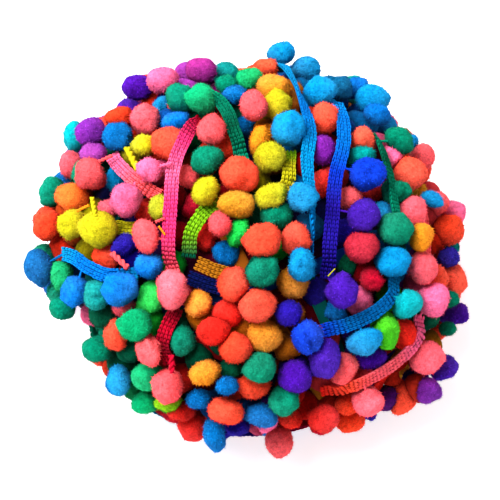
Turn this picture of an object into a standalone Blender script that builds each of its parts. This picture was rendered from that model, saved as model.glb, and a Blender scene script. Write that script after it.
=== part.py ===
"""A loosely wound bundle of gradient-dyed pompom trim, resting on a small flat spot.

The trim is one long knitted heading, a narrow braid, with a felted yarn pompom tied to its edge
every couple of centimetres. The wound inside is one solid with the pompoms of its outer turns
fused to it by their roots. The runs of heading that lie proud of the bundle are solids of their
own, each with its own pompoms.

Tables are in millimetres as one looks at the bundle's best side: right and up from its middle,
along a line of sight that falls from the front (-Y) at VIEW_ELEVATION. The shell is the surface on
which the centres of the outer pompoms lie: half an ellipsoid above its widest level and a flatter
half below it.
"""
import math
from collections import namedtuple

import bmesh
import bpy
import numpy as np
from mathutils import Matrix, Vector

MM = 0.001

# The bundle
WIDEST_LEVEL = 27.0 * MM
SHELL_X = 68.8 * MM
SHELL_Y = 65.9 * MM
SHELL_RISE = 46.0 * MM
SHELL_DROP = 33.0 * MM
CORE_SINK = 4.0 * MM
CORE_SUBDIVISIONS = 3
ROOT_DEPTH = 1.5 * MM

# The trim
POMPOM_RADIUS = 5.0 * MM
POMPOM_SQUASH = 0.94
POMPOM_SPREAD = 0.05
POMPOM_SIDES = 5
POMPOM_RINGS = 4
BRAID_WIDTH = 4.8 * MM
BRAID_THICK = 1.6 * MM
BRAID_STEP = 4.2 * MM
TURN_STEP = 7.0 * MM
THREAD_RADIUS = 0.75 * MM
THREAD_SIDES = 4
GAP = 0.45 * MM
SEAT = 0.5 * MM
HANG = 9.0 * MM

# The line of sight that the tables are laid out along
VIEW_ELEVATION = math.radians(70.0)
VIEW_DISTANCE = 900.0 * MM
VIEW_REACH = 110.0 * MM
SIGHT_STEPS = 221
SIGHT_HALVINGS = 24
CURVE_STEPS = 24
TURN_PLACES = 9

# Lifts over the shell: the ends of a proud run dive between the pompoms, a tucked band hugs the core
END_LIFT = -2.8 * MM
TURN_LIFT = 1.0 * MM
END_LENGTH = 11.0 * MM
TUCK_LIFT = -3.9 * MM
TUCK_THICK = 2.8 * MM

# How the pompoms settle against each other
SETTLE_ROUNDS = 260
SETTLE_FREE_ROUNDS = 70
PULL_ACROSS = 0.16
PULL_DEPTH = 0.03
BAND_POMPOM_YIELD = 0.35
HEIGHT_RANGE = (-7.0 * MM, 5.5 * MM)
PROUD_HEIGHT = 12.0 * MM
SMALLEST_RADIUS = 3.6 * MM
BAND_SAMPLE_RADIUS = 1.15 * MM
BAND_SAMPLE_ACROSS = 1.6 * MM
BAND_SAMPLE_STEP = 2.2 * MM

CENTRE = np.array([0.0, 0.0, WIDEST_LEVEL])
VIEW_RIGHT = np.array([1.0, 0.0, 0.0])
VIEW_UP = np.array([0.0, math.sin(VIEW_ELEVATION), math.cos(VIEW_ELEVATION)])
VIEW_BACK = np.array([0.0, -math.cos(VIEW_ELEVATION), math.sin(VIEW_ELEVATION)])
EYE = CENTRE + VIEW_DISTANCE * VIEW_BACK

COLOURS = {
    "coral": "f4694f", "orangered": "ef4a2f", "red": "d8281f", "crimson": "c02038", "rose": "f0546a",
    "pink": "f57f9c", "magenta": "b8479e", "orchid": "c565c4", "purple": "6a35b5", "indigo": "332a9e",
    "navy": "1c2a5e", "cobalt": "2156d8", "blue": "1677cf", "sky": "18a4e6", "teal": "12b0a8",
    "emerald": "12b07c", "green": "17ab67", "darkgreen": "0f6b4c", "lime": "8fbf3a", "lemon": "d8e03a",
    "yellow": "ecd53a", "gold": "eaa637", "orange": "f28a44",
}

# Runs of heading that lie proud of the bundle. Lift is their height over the shell, and turn how far
# the braid is rolled onto its edge at its first and last end, in degrees.
Run = namedtuple("Run", "name colour lift turn route pompoms")
RUNS = (
    Run("run_pink_fall", "pink", 4.4, (10, -8),
        ((-17.5, 45), (-22, 36.5), (-25.3, 27), (-26.3, 14), (-27, 1), (-26, -8)),
        ((-33.8, 4.5), (-26.5, -13.5))),
    Run("run_red_fall", "crimson", 1.2, (20, -15),
        ((-25.5, -20), (-27.8, -26), (-29, -32), (-27.6, -39)),
        ((-34, -32), (-27.5, -46.5))),
    Run("run_green_fall", "green", 4.0, (0, 12),
        ((-20, 52.5), (-13, 51.5), (-8, 46.5), (-5.2, 39), (-2.8, 31.5)),
        ((-23.2, 51), (-15.3, 49.5))),
    Run("run_lime_twist", "lime", 1.4, (15, 25),
        ((-11.5, 17.3), (-16, 11.8), (-19.8, 5.5), (-21.2, -1.5)),
        ((-15.5, 20.5),)),
    Run("run_blue_left", "blue", 3.4, (-10, 20),
        ((-64.5, -1), (-59, -2), (-54, -5.5), (-47, -8.5), (-39, -8)),
        ((-69.5, -6), (-59, -13.5), (-43.5, -13.5), (-36, -5.5))),
    Run("run_sky_fall", "sky", 4.8, (-30, 25),
        ((9, 62.5), (15.3, 54), (19.6, 41), (18.7, 29), (20, 17), (21, 0)),
        ((11, 65.2), (13, 40), (17.6, 16.5), (17, -5))),
    Run("run_cobalt_fall", "cobalt", 3.8, (0, -20),
        ((27, 52), (30.6, 44), (31, 35), (28.4, 24), (27.4, 12), (26.4, 0), (26.6, -9)),
        ((38.5, 26), (37, 11.5), (31.5, -14.5))),
    Run("run_green_edge", "emerald", 3.0, (35, 20),
        ((40, 41.5), (44, 33), (46.6, 24), (48.4, 13), (52, 1)),
        ((51, 36.5), (50, 20), (48.3, 6.5))),
    Run("run_blue_sweep", "blue", 2.6, (0, -10),
        ((49.8, -9), (46.6, -16), (40, -21.5), (32, -25), (25.5, -27.5)),
        ((48.3, -4.2), (52, -17.8), (38.5, -29.5))),
    Run("run_pink_sweep", "rose", 4.2, (-12, 10),
        ((58.5, -23), (55.5, -30), (49, -36.8), (41, -42), (33, -45.6), (25, -48.5)),
        ((60.3, -16), (59, -35.5), (39.5, -49))),
    Run("run_pink_left", "pink", 3.4, (20, -10),
        ((-47.5, 33), (-44, 28.5), (-39.5, 24.2), (-35, 21), (-31.5, 19.2)),
        ((-34, 26.5), (-41.5, 16.5))),
    Run("run_yellow_fall", "lemon", 1.2, (-15, 30),
        ((13.6, 34), (12.9, 28), (12.4, 22.5), (8.5, 19.5)),
        ((7, 31.5), (6.5, 18))),
)

# Shorter bands of heading that lie tucked against the wound inside
Tuck = namedtuple("Tuck", "colour route")
TUCKS = (
    Tuck("gold", ((-18, -4), (-13.5, -6), (-8.5, -7.5))),
    Tuck("navy", ((-21, -9), (-16, -11), (-10.5, -12.5))),
    Tuck("rose", ((60.5, 14), (61.8, 4), (61.6, -6))),
    Tuck("lemon", ((-46.5, 8.5), (-42.5, 8), (-38, 8))),
    Tuck("orchid", ((-26, 59.5), (-21.5, 58.5), (-17, 55.5))),
    Tuck("red", ((54.5, -40.5), (47.5, -44), (43.5, -51.5))),
)

# Rows of neighbouring pompoms over the side that shows, their colours in order from start to end.
# A dot leaves a place free. Sink is how far the row lies under the shell.
Row = namedtuple("Row", "start end sink colours")
ROWS = (
    Row((-37.5, 54.5), (-8, 60.5), 0.0, "purple pink . magenta teal"),
    Row((-43.5, 44.5), (-25, 43.5), 0.0, "orangered rose blue"),
    Row((-40.5, 49.5), (-31, 49.5), 4.0, "purple coral"),
    Row((-7.5, 54.8), (6, 61.5), 0.0, "green green coral"),
    Row((-5, 51.5), (1.5, 47.5), 0.5, "blue rose"),
    Row((8, 55.5), (9, 47.5), 0.0, "gold lemon"),
    Row((20.5, 60.5), (24.5, 53), 0.0, "sky sky"),
    Row((35.5, 54), (43.8, 44.5), 0.0, "blue sky sky"),
    Row((24.2, 44.2), (24, 22.5), 1.0, "orangered purple red"),
    Row((37.5, 37), (36.5, 29.5), 2.0, "orangered teal"),
    Row((47.2, 31.5), (54, 26), 0.0, "pink coral"),
    Row((47.8, 43.5), (58.5, 31), 1.5, "pink . rose"),
    Row((33, 17.5), (37, 1), 1.0, "rose . crimson"),
    Row((41, 19), (44, 12.5), 4.5, "red sky"),
    Row((56, 19), (57.5, -5), 0.0, "yellow pink gold pink"),
    Row((67.5, 14.5), (68, -21.5), 0.0, "pink coral indigo coral purple"),
    Row((67, -28.5), (60.5, -47), 0.5, "teal purple purple"),
    Row((50, -47), (24, -56), 0.0, "coral . orangered red"),
    Row((52.5, -40.5), (57, -43.5), 2.0, "yellow indigo"),
    Row((14, -56.5), (-16, -49.5), 1.0, "red blue coral blue"),
    Row((10, -63.4), (-19.5, -60), 0.0, "red . indigo blue red"),
    Row((-22.5, -54), (-35, -50.5), 2.0, "red lime darkgreen"),
    Row((-44.5, -44), (-16.5, -42), 0.0, "blue green . gold"),
    Row((-8, -45.5), (1.5, -45.5), 1.0, "blue coral"),
    Row((-6.5, -39.5), (14, -41.5), 1.0, "darkgreen emerald indigo"),
    Row((12, -50), (24, -36.5), 0.0, "emerald . purple"),
    Row((-13, -27), (-4.5, -32.5), 0.0, "red coral"),
    Row((4.5, -28.8), (20, -29), 0.0, "gold . cobalt"),
    Row((-7.5, -20), (13, -20.5), 0.0, "red coral indigo"),
    Row((-5.5, -10.5), (13.5, -11), 0.5, "coral teal gold"),
    Row((4, 4), (15, 4.8), 0.0, "coral orangered"),
    Row((-9.8, 8.7), (-4, 4.2), 2.0, "rose green"),
    Row((-14.5, 4), (-8, -1), 5.0, "red blue"),
    Row((-4, 15.6), (8.5, 12), 0.0, "gold emerald"),
    Row((-4, 26), (-14, 30.5), 0.0, "coral emerald"),
    Row((-27.5, 37.2), (-59, 38.5), 0.0, "coral yellow blue purple sky"),
    Row((-13.8, 40.5), (-8, 34.8), 0.5, "rose red"),
    Row((-1, 41.5), (4.5, 38), 3.5, "teal gold"),
    Row((-60, 29.5), (-51, 32.3), 0.5, "pink orchid"),
    Row((-53, 25.5), (-58.5, 16.5), 0.0, "rose orange"),
    Row((-66.5, 19.5), (-67, 8), 0.0, "emerald orangered"),
    Row((-46, 24), (-48, 14), 4.0, "sky blue"),
    Row((-59, 8.3), (-50, 6), 0.0, "yellow lemon"),
    Row((-31, 14.5), (-36, 11.5), 3.0, "yellow red"),
    Row((-42, 2), (-47.5, -2.8), 4.0, "indigo coral"),
    Row((-62, -8.5), (-50.5, -15.5), 0.5, "emerald teal"),
    Row((-62, -19.8), (-38.5, -24.3), 0.0, "emerald darkgreen green"),
    Row((-32.5, -16), (-43, -20.5), 1.0, "green coral"),
    Row((-51, -34), (-44.5, -29.5), 0.5, "emerald coral"),
    Row((-22, -30), (-17, -17.5), 0.0, "teal gold"),
    Row((31, -40.5), (39.5, -36.5), 1.0, "rose indigo"),
    Row((45.5, -26.5), (53, -27.5), 1.0, "green coral"),
    Row((37, -17.5), (41, -9.5), 3.0, "pink red"),
    Row((33, -4.5), (32, 6), 5.5, "darkgreen indigo"),
    Row((21, -14), (24.5, -21.5), 5.0, "indigo navy"),
    Row((-20.3, 23.5), (-18.5, 13), 3.5, "rose red"),
)

# Turns of heading that lie proud round the foot of the bundle, by the bearing in degrees of their first
# end and the height of both ends. Their pompoms hang over and under them in turn, the lower ones level
# on the floor.
Turn = namedtuple("Turn", "name colour bearing sweep low high count colours")
TURNS = (
    Turn("turn_front", "sky", 228, 82, 11.0, 10.0, 11, "teal sky sky blue cobalt indigo"),
    Turn("turn_right", "rose", 318, 82, 10.0, 11.0, 11, "purple magenta rose pink coral orange"),
    Turn("turn_back", "lemon", 48, 82, 11.0, 10.0, 11, "gold yellow lemon lime green emerald"),
    Turn("turn_left", "indigo", 138, 82, 10.0, 10.5, 11, "cobalt indigo purple orchid pink coral"),
)

# Fillers go wherever the shell is still bare, in this order of colours, deeper on the side that shows
FILL_COLOURS = ("coral purple gold sky rose emerald indigo pink yellow blue "
                "orchid orangered teal lime").split()
FILL_CANDIDATES = 1100
FILL_LOWEST = 22.0 * MM
FILL_CLEARANCE = 8.9 * MM
FILL_SINK_SEEN = 4.0 * MM
FILL_SEEN_SHARE = 0.45

# Each next filler, and each next ball's spin about its pole, turns by the golden angle in degrees
GOLDEN_ANGLE = 137.508


def unit(vector):
    """The vector, or each row of an array of vectors, at length 1."""
    return vector / np.linalg.norm(vector, axis=-1, keepdims=True)


def half_axes(points, lift):
    """Half axes of the ellipsoid that bounds the shell at each point: rise above, drop below."""
    points = np.atleast_2d(points)
    vertical = np.where(points[:, 2] >= WIDEST_LEVEL, SHELL_RISE, SHELL_DROP)
    flat = np.ones(len(points))
    return np.stack([SHELL_X * flat, SHELL_Y * flat, vertical], axis=1) + lift


def fullness(points, lift=0.0):
    """Ellipsoid measure |(p - centre) / half axes|: 1 on the shell raised by lift, less inside it."""
    points = np.atleast_2d(points)
    return np.linalg.norm((points - CENTRE) / half_axes(points, lift), axis=1)


def height_over_shell(points):
    """Distance outside the shell, measured from the bundle's centre: |p - centre| (1 - 1 / fullness)."""
    points = np.atleast_2d(points)
    return np.linalg.norm(points - CENTRE, axis=1) * (1.0 - 1.0 / fullness(points))


def outward(points):
    """Unit normal of the shell under each point: the gradient of the ellipsoid measure."""
    points = np.atleast_2d(points)
    return unit((points - CENTRE) / half_axes(points, 0.0) ** 2)


def sight(right, up, lift):
    """Point where the line of sight through (right, up) first meets the shell raised by lift.

    Past the rim it is the point of that line that comes closest to the shell.
    """
    aim = CENTRE + right * VIEW_RIGHT + up * VIEW_UP
    along = unit(aim - EYE)
    steps = np.linspace(-VIEW_REACH, VIEW_REACH, SIGHT_STEPS)
    measure = fullness(aim + steps[:, None] * along, lift)
    inside = np.nonzero(measure < 1.0)[0]
    if len(inside) == 0:
        return aim + steps[np.argmin(measure)] * along
    near, far = steps[inside[0] - 1], steps[inside[0]]
    for _ in range(SIGHT_HALVINGS):
        middle = 0.5 * (near + far)
        if fullness(aim + middle * along, lift)[0] < 1.0:
            far = middle
        else:
            near = middle
    return aim + far * along


def flank(bearing, level):
    """Point of the shell at a bearing in degrees from +X and a height over the floor."""
    slope = (level - WIDEST_LEVEL) / (SHELL_RISE if level > WIDEST_LEVEL else SHELL_DROP)
    reach = math.sqrt(1.0 - slope * slope)
    angle = math.radians(bearing)
    return np.array([SHELL_X * reach * math.cos(angle), SHELL_Y * reach * math.sin(angle), level])


def smooth_path(points, step):
    """Catmull-Rom curve through the points, resampled at about equal steps."""
    points = np.array(points)
    ends = np.vstack([2 * points[0] - points[1], points, 2 * points[-1] - points[-2]])
    dense = []
    for k in range(len(points) - 1):
        a, b, c, d = ends[k:k + 4]
        t = np.linspace(0.0, 1.0, CURVE_STEPS, endpoint=False)[:, None]
        curve = 2 * b + (c - a) * t + (2 * a - 5 * b + 4 * c - d) * t ** 2
        dense.append(0.5 * (curve + (3 * b - a - 3 * c + d) * t ** 3))
    dense = np.vstack(dense + [points[-1:]])
    length = np.concatenate([[0.0], np.cumsum(np.linalg.norm(np.diff(dense, axis=0), axis=1))])
    count = max(2, round(length[-1] / step) + 1)
    marks = np.linspace(0.0, length[-1], count)
    return np.stack([np.interp(marks, length, dense[:, k]) for k in range(3)], axis=1)


def run_path(run, step):
    """Centre line of a proud run: over the shell by its lift, with ends that dive to END_LIFT."""
    lift = run.lift * MM
    level = [sight(right * MM, up * MM, 0.0) for right, up in run.route]
    line = smooth_path(level, step)
    travel = np.concatenate([[0.0], np.cumsum(np.linalg.norm(np.diff(line, axis=0), axis=1))])
    nearest_end = np.minimum(travel, travel[-1] - travel) / END_LENGTH
    share = np.clip(nearest_end, 0.0, 1.0)
    share = share * share * (3.0 - 2.0 * share)
    raise_by = END_LIFT + (lift - END_LIFT) * share
    return line + raise_by[:, None] * outward(line)


def band_frames(line, turn):
    """Across and outward directions along a band, rolled about its line from turn[0] to turn[1]."""
    forward = unit(np.gradient(line, axis=0))
    face = outward(line)
    face = unit(face - np.sum(face * forward, axis=1, keepdims=True) * forward)
    across = np.cross(forward, face)
    roll = np.radians(np.linspace(turn[0], turn[1], len(line)))[:, None]
    rolled = np.cos(roll) * across + np.sin(roll) * face
    return rolled, np.cross(rolled, forward)


def tuck_path(tuck, step):
    """Centre line of a tucked band, along the wound inside."""
    line = smooth_path([sight(right * MM, up * MM, 0.0) for right, up in tuck.route], step)
    return line + TUCK_LIFT * outward(line)


def turn_path(turn, step):
    """Centre line of a turn round the foot: bearing and height go from one end to the other."""
    places = [flank(turn.bearing + share * turn.sweep, (turn.low + share * (turn.high - turn.low)) * MM)
              for share in np.linspace(0.0, 1.0, TURN_PLACES)]
    line = smooth_path(places, step)
    return line + TURN_LIFT * outward(line)


def band_samples(line, roll):
    """Small balls that fill a band, three across, to keep other pieces off it."""
    across, _ = band_frames(line, roll)
    return np.vstack([line + k * BAND_SAMPLE_ACROSS * across for k in (-1, 0, 1)])


def turn_homes(turn):
    """Places of a turn's pompoms, over and under it by turns, an even way apart."""
    line = turn_path(turn, BAND_SAMPLE_STEP)
    marks = np.linspace(2, len(line) - 3, turn.count).round().astype(int)
    across, _ = band_frames(line, (0, 0))
    side = np.where(np.arange(turn.count) % 2 == 0, 1.0, -1.0)[:, None]
    upward = np.sign(across[:, 2:3])[marks]
    return line[marks] + side * upward * (0.5 * BRAID_WIDTH + POMPOM_RADIUS) * across[marks]


def pompom_homes(samples):
    """Where each pompom would lie, its band (or -1 on the wound inside) and its colour."""
    homes, owners, colours = [], [], []
    for index, run in enumerate(RUNS):
        for right, up in run.pompoms:
            homes.append(sight(right * MM, up * MM, 0.5 * run.lift * MM))
            owners.append(index)
            colours.append(run.colour)
    for index, turn in enumerate(TURNS):
        names = turn.colours.split()
        for k, home in enumerate(turn_homes(turn)):
            homes.append(home)
            owners.append(len(RUNS) + index)
            colours.append(names[k * len(names) // turn.count])
    for row in ROWS:
        names = row.colours.split()
        for k, name in enumerate(names):
            if name != ".":
                share = k / max(1, len(names) - 1)
                right = row.start[0] + share * (row.end[0] - row.start[0])
                up = row.start[1] + share * (row.end[1] - row.start[1])
                homes.append(sight(right * MM, up * MM, -row.sink * MM))
                owners.append(-1)
                colours.append(name)
    top = WIDEST_LEVEL + SHELL_RISE
    for k in range(FILL_CANDIDATES):
        place = flank(GOLDEN_ANGLE * k, top - (k + 0.5) / FILL_CANDIDATES * (top - FILL_LOWEST))
        near = min(np.linalg.norm(np.array(homes) - place, axis=1).min(),
                   np.linalg.norm(samples - place, axis=1).min() + BAND_SAMPLE_RADIUS)
        if near > FILL_CLEARANCE:
            normal = outward(place)[0]
            seen = normal @ VIEW_BACK > FILL_SEEN_SHARE
            homes.append(place - (FILL_SINK_SEEN if seen else 0.0) * normal)
            owners.append(-1)
            colours.append(FILL_COLOURS[len(homes) % len(FILL_COLOURS)])
    return np.array(homes), np.array(owners), colours


def tether(centre, line, radius):
    """Keeps a run's pompom within its thread's reach of the heading and seated on its face."""
    nearest = line[np.argmin(np.linalg.norm(line - centre, axis=1))]
    offset = centre - nearest
    distance = np.linalg.norm(offset)
    wanted = min(max(distance, radius + 0.5 * BRAID_THICK - SEAT), HANG)
    return nearest + offset * (wanted / max(distance, 0.1 * MM))


def settle(homes, owners, lines, samples, sample_owners):
    """Moves pompoms apart until each clears the others and every band but its own.

    Each round pulls a pompom towards its home, firmly across the line of sight and gently along it,
    then pushes overlapping pairs apart. What is still too close at the end gets a smaller radius.
    """
    count = len(homes)
    centres = homes.copy()
    wobble = np.sin(np.arange(count) * math.radians(GOLDEN_ANGLE))
    radii = POMPOM_RADIUS * (1.0 + POMPOM_SPREAD * wobble)
    yields = np.where(owners >= 0, BAND_POMPOM_YIELD, 1.0)[:, None]
    foreign = sample_owners[None, :] != owners[:, None]
    apart = ~np.eye(count, dtype=bool)
    for step in range(SETTLE_ROUNDS):
        if step < SETTLE_ROUNDS - SETTLE_FREE_ROUNDS:
            pull = homes - centres
            depth = pull @ VIEW_BACK
            centres = centres + PULL_ACROSS * pull + np.outer((PULL_DEPTH - PULL_ACROSS) * depth, VIEW_BACK)
        delta = centres[:, None] - centres[None]
        distance = np.linalg.norm(delta, axis=2) + ~apart
        short = np.clip(radii[:, None] + radii[None] + GAP - distance, 0.0, None) * apart
        centres = centres + 0.5 * yields * np.sum(delta * (short / distance)[..., None], axis=1)
        delta = centres[:, None] - samples[None]
        distance = np.linalg.norm(delta, axis=2)
        short = np.clip(radii[:, None] + BAND_SAMPLE_RADIUS + GAP - distance, 0.0, None) * foreign
        worst = np.argmax(short, axis=1)
        pick = (np.arange(count), worst)
        centres = centres + delta[pick] * (short[pick] / distance[pick])[:, None]
        for k in np.nonzero(owners >= 0)[0]:
            centres[k] = tether(centres[k], lines[owners[k]], radii[k])
        height = height_over_shell(centres)
        lowest = np.where(owners < 0, HEIGHT_RANGE[0], radii - CORE_SINK + GAP)
        highest = np.where(owners < 0, HEIGHT_RANGE[1], PROUD_HEIGHT)
        centres = centres + (np.clip(height, lowest, highest) - height)[:, None] * outward(centres)
        centres[:, 2] = np.maximum(centres[:, 2], radii * POMPOM_SQUASH)
    delta = np.linalg.norm(centres[:, None] - centres[None], axis=2)
    share = radii[:, None] / (radii[:, None] + radii[None])
    room = np.where(apart, (delta - GAP) * share, 1.0).min(axis=1)
    delta = np.linalg.norm(centres[:, None] - samples[None], axis=2)
    room = np.minimum(room, np.where(foreign, delta - BAND_SAMPLE_RADIUS - GAP, 1.0).min(axis=1))
    return centres, np.clip(np.minimum(radii, room), SMALLEST_RADIUS, None)


def lay_out():
    """Settled pompoms and the lines of the proud bands, in metres."""
    lines = [run_path(run, BAND_SAMPLE_STEP) for run in RUNS]
    lines += [turn_path(turn, BAND_SAMPLE_STEP) for turn in TURNS]
    rolls = [run.turn for run in RUNS] + [(0, 0)] * (len(TURNS) + len(TUCKS))
    every = lines + [tuck_path(tuck, BAND_SAMPLE_STEP) for tuck in TUCKS]
    samples = [band_samples(line, roll) for line, roll in zip(every, rolls)]
    owners = [np.full(len(balls), k if k < len(lines) else -9) for k, balls in enumerate(samples)]
    samples, owners = np.vstack(samples), np.concatenate(owners)
    homes, pompom_owners, colours = pompom_homes(samples)
    centres, radii = settle(homes, pompom_owners, lines, samples, owners)
    return centres, radii, pompom_owners, colours, lines


def clear_scene():
    for thing in list(bpy.data.objects):
        bpy.data.objects.remove(thing, do_unlink=True)


def linear(channel):
    """One colour channel from display to scene-linear."""
    return channel / 12.92 if channel <= 0.04045 else ((channel + 0.055) / 1.055) ** 2.4


def yarn_material(name, colour):
    """Matt yarn in one of the named colours."""
    code = COLOURS[colour]
    rgb = [linear(int(code[k:k + 2], 16) / 255) for k in (0, 2, 4)]
    material = bpy.data.materials.new(name)
    material.use_nodes = True
    shader = material.node_tree.nodes["Principled BSDF"]
    shader.inputs["Base Color"].default_value = (*rgb, 1.0)
    shader.inputs["Roughness"].default_value = 0.95
    shader.inputs["Metallic"].default_value = 0.0
    material.diffuse_color = (*rgb, 1.0)
    return material


def add_object(name, shape, collection, helper=False):
    """Object from a bmesh. A helper is only an operand of a union."""
    mesh = bpy.data.meshes.new(name)
    shape.to_mesh(mesh)
    shape.free()
    thing = bpy.data.objects.new(name, mesh)
    collection.objects.link(thing)
    if helper:
        thing.hide_render = True
        thing.display_type = "WIRE"
    return thing


def add_pompom(shape, centre, radius, pole, index):
    """Ball squashed a little along its pole, the direction in which it presses on the bundle."""
    spin = index * math.radians(GOLDEN_ANGLE)
    turn = Vector(pole).to_track_quat("Z", "Y").to_matrix().to_4x4()
    matrix = (Matrix.Translation(Vector(centre)) @ turn @ Matrix.Rotation(spin, 4, "Z")
              @ Matrix.Diagonal((1.0, 1.0, POMPOM_SQUASH, 1.0)))
    bmesh.ops.create_uvsphere(shape, u_segments=POMPOM_SIDES, v_segments=POMPOM_RINGS,
                              radius=radius, matrix=matrix)


def add_thread(shape, start, end):
    """Straight four-sided thread between two points."""
    start, end = Vector(start), Vector(end)
    span = end - start
    turn = span.to_track_quat("Z", "Y").to_matrix().to_4x4()
    bmesh.ops.create_cone(shape, cap_ends=True, segments=THREAD_SIDES, radius1=THREAD_RADIUS,
                          radius2=THREAD_RADIUS, depth=span.length,
                          matrix=Matrix.Translation((start + end) * 0.5) @ turn)


def add_band(shape, line, turn, thick=BRAID_THICK):
    """Band lofted along its line: a flat four-cornered section that rolls from turn[0] to turn[1]."""
    across, face = band_frames(line, turn)
    corners = ((-1, -1), (1, -1), (1, 1), (-1, 1))
    rings = []
    for point, side, out in zip(line, across, face):
        rings.append([shape.verts.new(point + a * 0.5 * BRAID_WIDTH * side + b * 0.5 * thick * out)
                      for a, b in corners])
    for near, far in zip(rings, rings[1:]):
        for k in range(4):
            shape.faces.new((near[k], near[k - 1], far[k - 1], far[k]))
    shape.faces.new(rings[0])
    shape.faces.new(rings[-1][::-1])
    bmesh.ops.recalc_face_normals(shape, faces=shape.faces[:])


def union(thing, name, helpers):
    """Keeps a union of the object with a collection of helpers as a modifier."""
    group = bpy.data.collections.new(name)
    bpy.context.scene.collection.children.link(group)
    for helper in helpers:
        group.objects.link(helper)
    joint = thing.modifiers.new(name, "BOOLEAN")
    joint.operation = "UNION"
    joint.operand_type = "COLLECTION"
    joint.collection = group
    joint.solver = "EXACT"


def core_shape():
    """Wound inside: an icosphere drawn to the shell's half axes less CORE_SINK, flat at the floor."""
    shape = bmesh.new()
    bmesh.ops.create_icosphere(shape, subdivisions=CORE_SUBDIVISIONS, radius=1.0)
    for vert in shape.verts:
        vertical = SHELL_RISE if vert.co.z >= 0.0 else SHELL_DROP
        vert.co.x *= SHELL_X - CORE_SINK
        vert.co.y *= SHELL_Y - CORE_SINK
        vert.co.z = WIDEST_LEVEL + vert.co.z * (vertical - CORE_SINK)
    cut = bmesh.ops.bisect_plane(shape, geom=shape.verts[:] + shape.edges[:] + shape.faces[:],
                                 plane_co=(0, 0, 0), plane_no=(0, 0, -1), clear_outer=True)
    rim = [item for item in cut["geom_cut"] if isinstance(item, bmesh.types.BMEdge)]
    bmesh.ops.contextual_create(shape, geom=rim)
    bmesh.ops.recalc_face_normals(shape, faces=shape.faces[:])
    return shape


def core_point(centre):
    """Point ROOT_DEPTH inside the wound inside, straight under a pompom."""
    normal = outward(centre)[0]
    height = height_over_shell(centre)[0]
    return np.array(centre) - (height + CORE_SINK + ROOT_DEPTH) * normal


def build_wound_ball(group, centres, radii, owners):
    thing = add_object("wound_ball", core_shape(), group)
    thing.data.materials.append(yarn_material("wound_ball", "rose"))
    bands = []
    for k, tuck in enumerate(TUCKS):
        shape = bmesh.new()
        add_band(shape, tuck_path(tuck, BRAID_STEP), (0, 0), TUCK_THICK)
        bands.append(add_object(f"tuck_{k}", shape, group, helper=True))
    balls, roots = bmesh.new(), bmesh.new()
    heights = height_over_shell(centres)
    normals = outward(centres)
    for k in np.nonzero(owners < 0)[0]:
        add_pompom(balls, centres[k], radii[k], normals[k], k)
        if heights[k] - radii[k] * POMPOM_SQUASH > -CORE_SINK - SEAT * 2:
            add_thread(roots, centres[k], core_point(centres[k]))
    balls = add_object("ball_pompoms", balls, group, helper=True)
    roots = add_object("ball_roots", roots, group, helper=True)
    union(thing, "tucked_heading", bands)
    union(thing, "pompoms_and_roots", [balls, roots])
    return bands + [balls, roots]


def build_band(index, name, colour, path, roll, group, layout):
    """One proud band with its own pompoms, each joined to it by its thread."""
    centres, radii, owners, _, lines = layout
    shape = bmesh.new()
    add_band(shape, path, roll)
    thing = add_object(name, shape, group)
    thing.data.materials.append(yarn_material(name, colour))
    balls, threads = bmesh.new(), bmesh.new()
    for k in np.nonzero(owners == index)[0]:
        anchor = lines[index][np.argmin(np.linalg.norm(lines[index] - centres[k], axis=1))]
        on_floor = centres[k][2] < radii[k] * POMPOM_SQUASH + GAP
        pole = (0.0, 0.0, 1.0) if on_floor else unit(centres[k] - anchor)
        add_pompom(balls, centres[k], radii[k], pole, k)
        add_thread(threads, centres[k], anchor)
    balls = add_object(f"{name}_pompoms", balls, group, helper=True)
    threads = add_object(f"{name}_threads", threads, group, helper=True)
    union(thing, f"{name}_pieces", [balls, threads])
    return [balls, threads]


def main():
    clear_scene()
    group = bpy.data.collections.new("pompom_trim_bundle")
    helpers = bpy.data.collections.new("helpers")
    for collection in (group, helpers):
        bpy.context.scene.collection.children.link(collection)
    layout = lay_out()
    spare = build_wound_ball(group, *layout[:3])
    for index, run in enumerate(RUNS):
        path = run_path(run, BRAID_STEP)
        spare += build_band(index, run.name, run.colour, path, run.turn, group, layout)
    for index, turn in enumerate(TURNS, len(RUNS)):
        path = turn_path(turn, TURN_STEP)
        spare += build_band(index, turn.name, turn.colour, path, (0, 0), group, layout)
    for thing in spare:
        group.objects.unlink(thing)
        helpers.objects.link(thing)


main()
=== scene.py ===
# %% [markdown]
# # A loosely wound bundle of pompom trim
#
# The real thing is one long knitted heading, a braid 5 mm wide, with a felted yarn pompom tied to its
# edge every couple of centimetres. It is dyed in a gradient and wound into a flattened ball. This
# lesson builds it in Blender from surfaces worked out with numpy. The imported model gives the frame, and
# every piece below stands for the plain solid in the same place.

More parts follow.
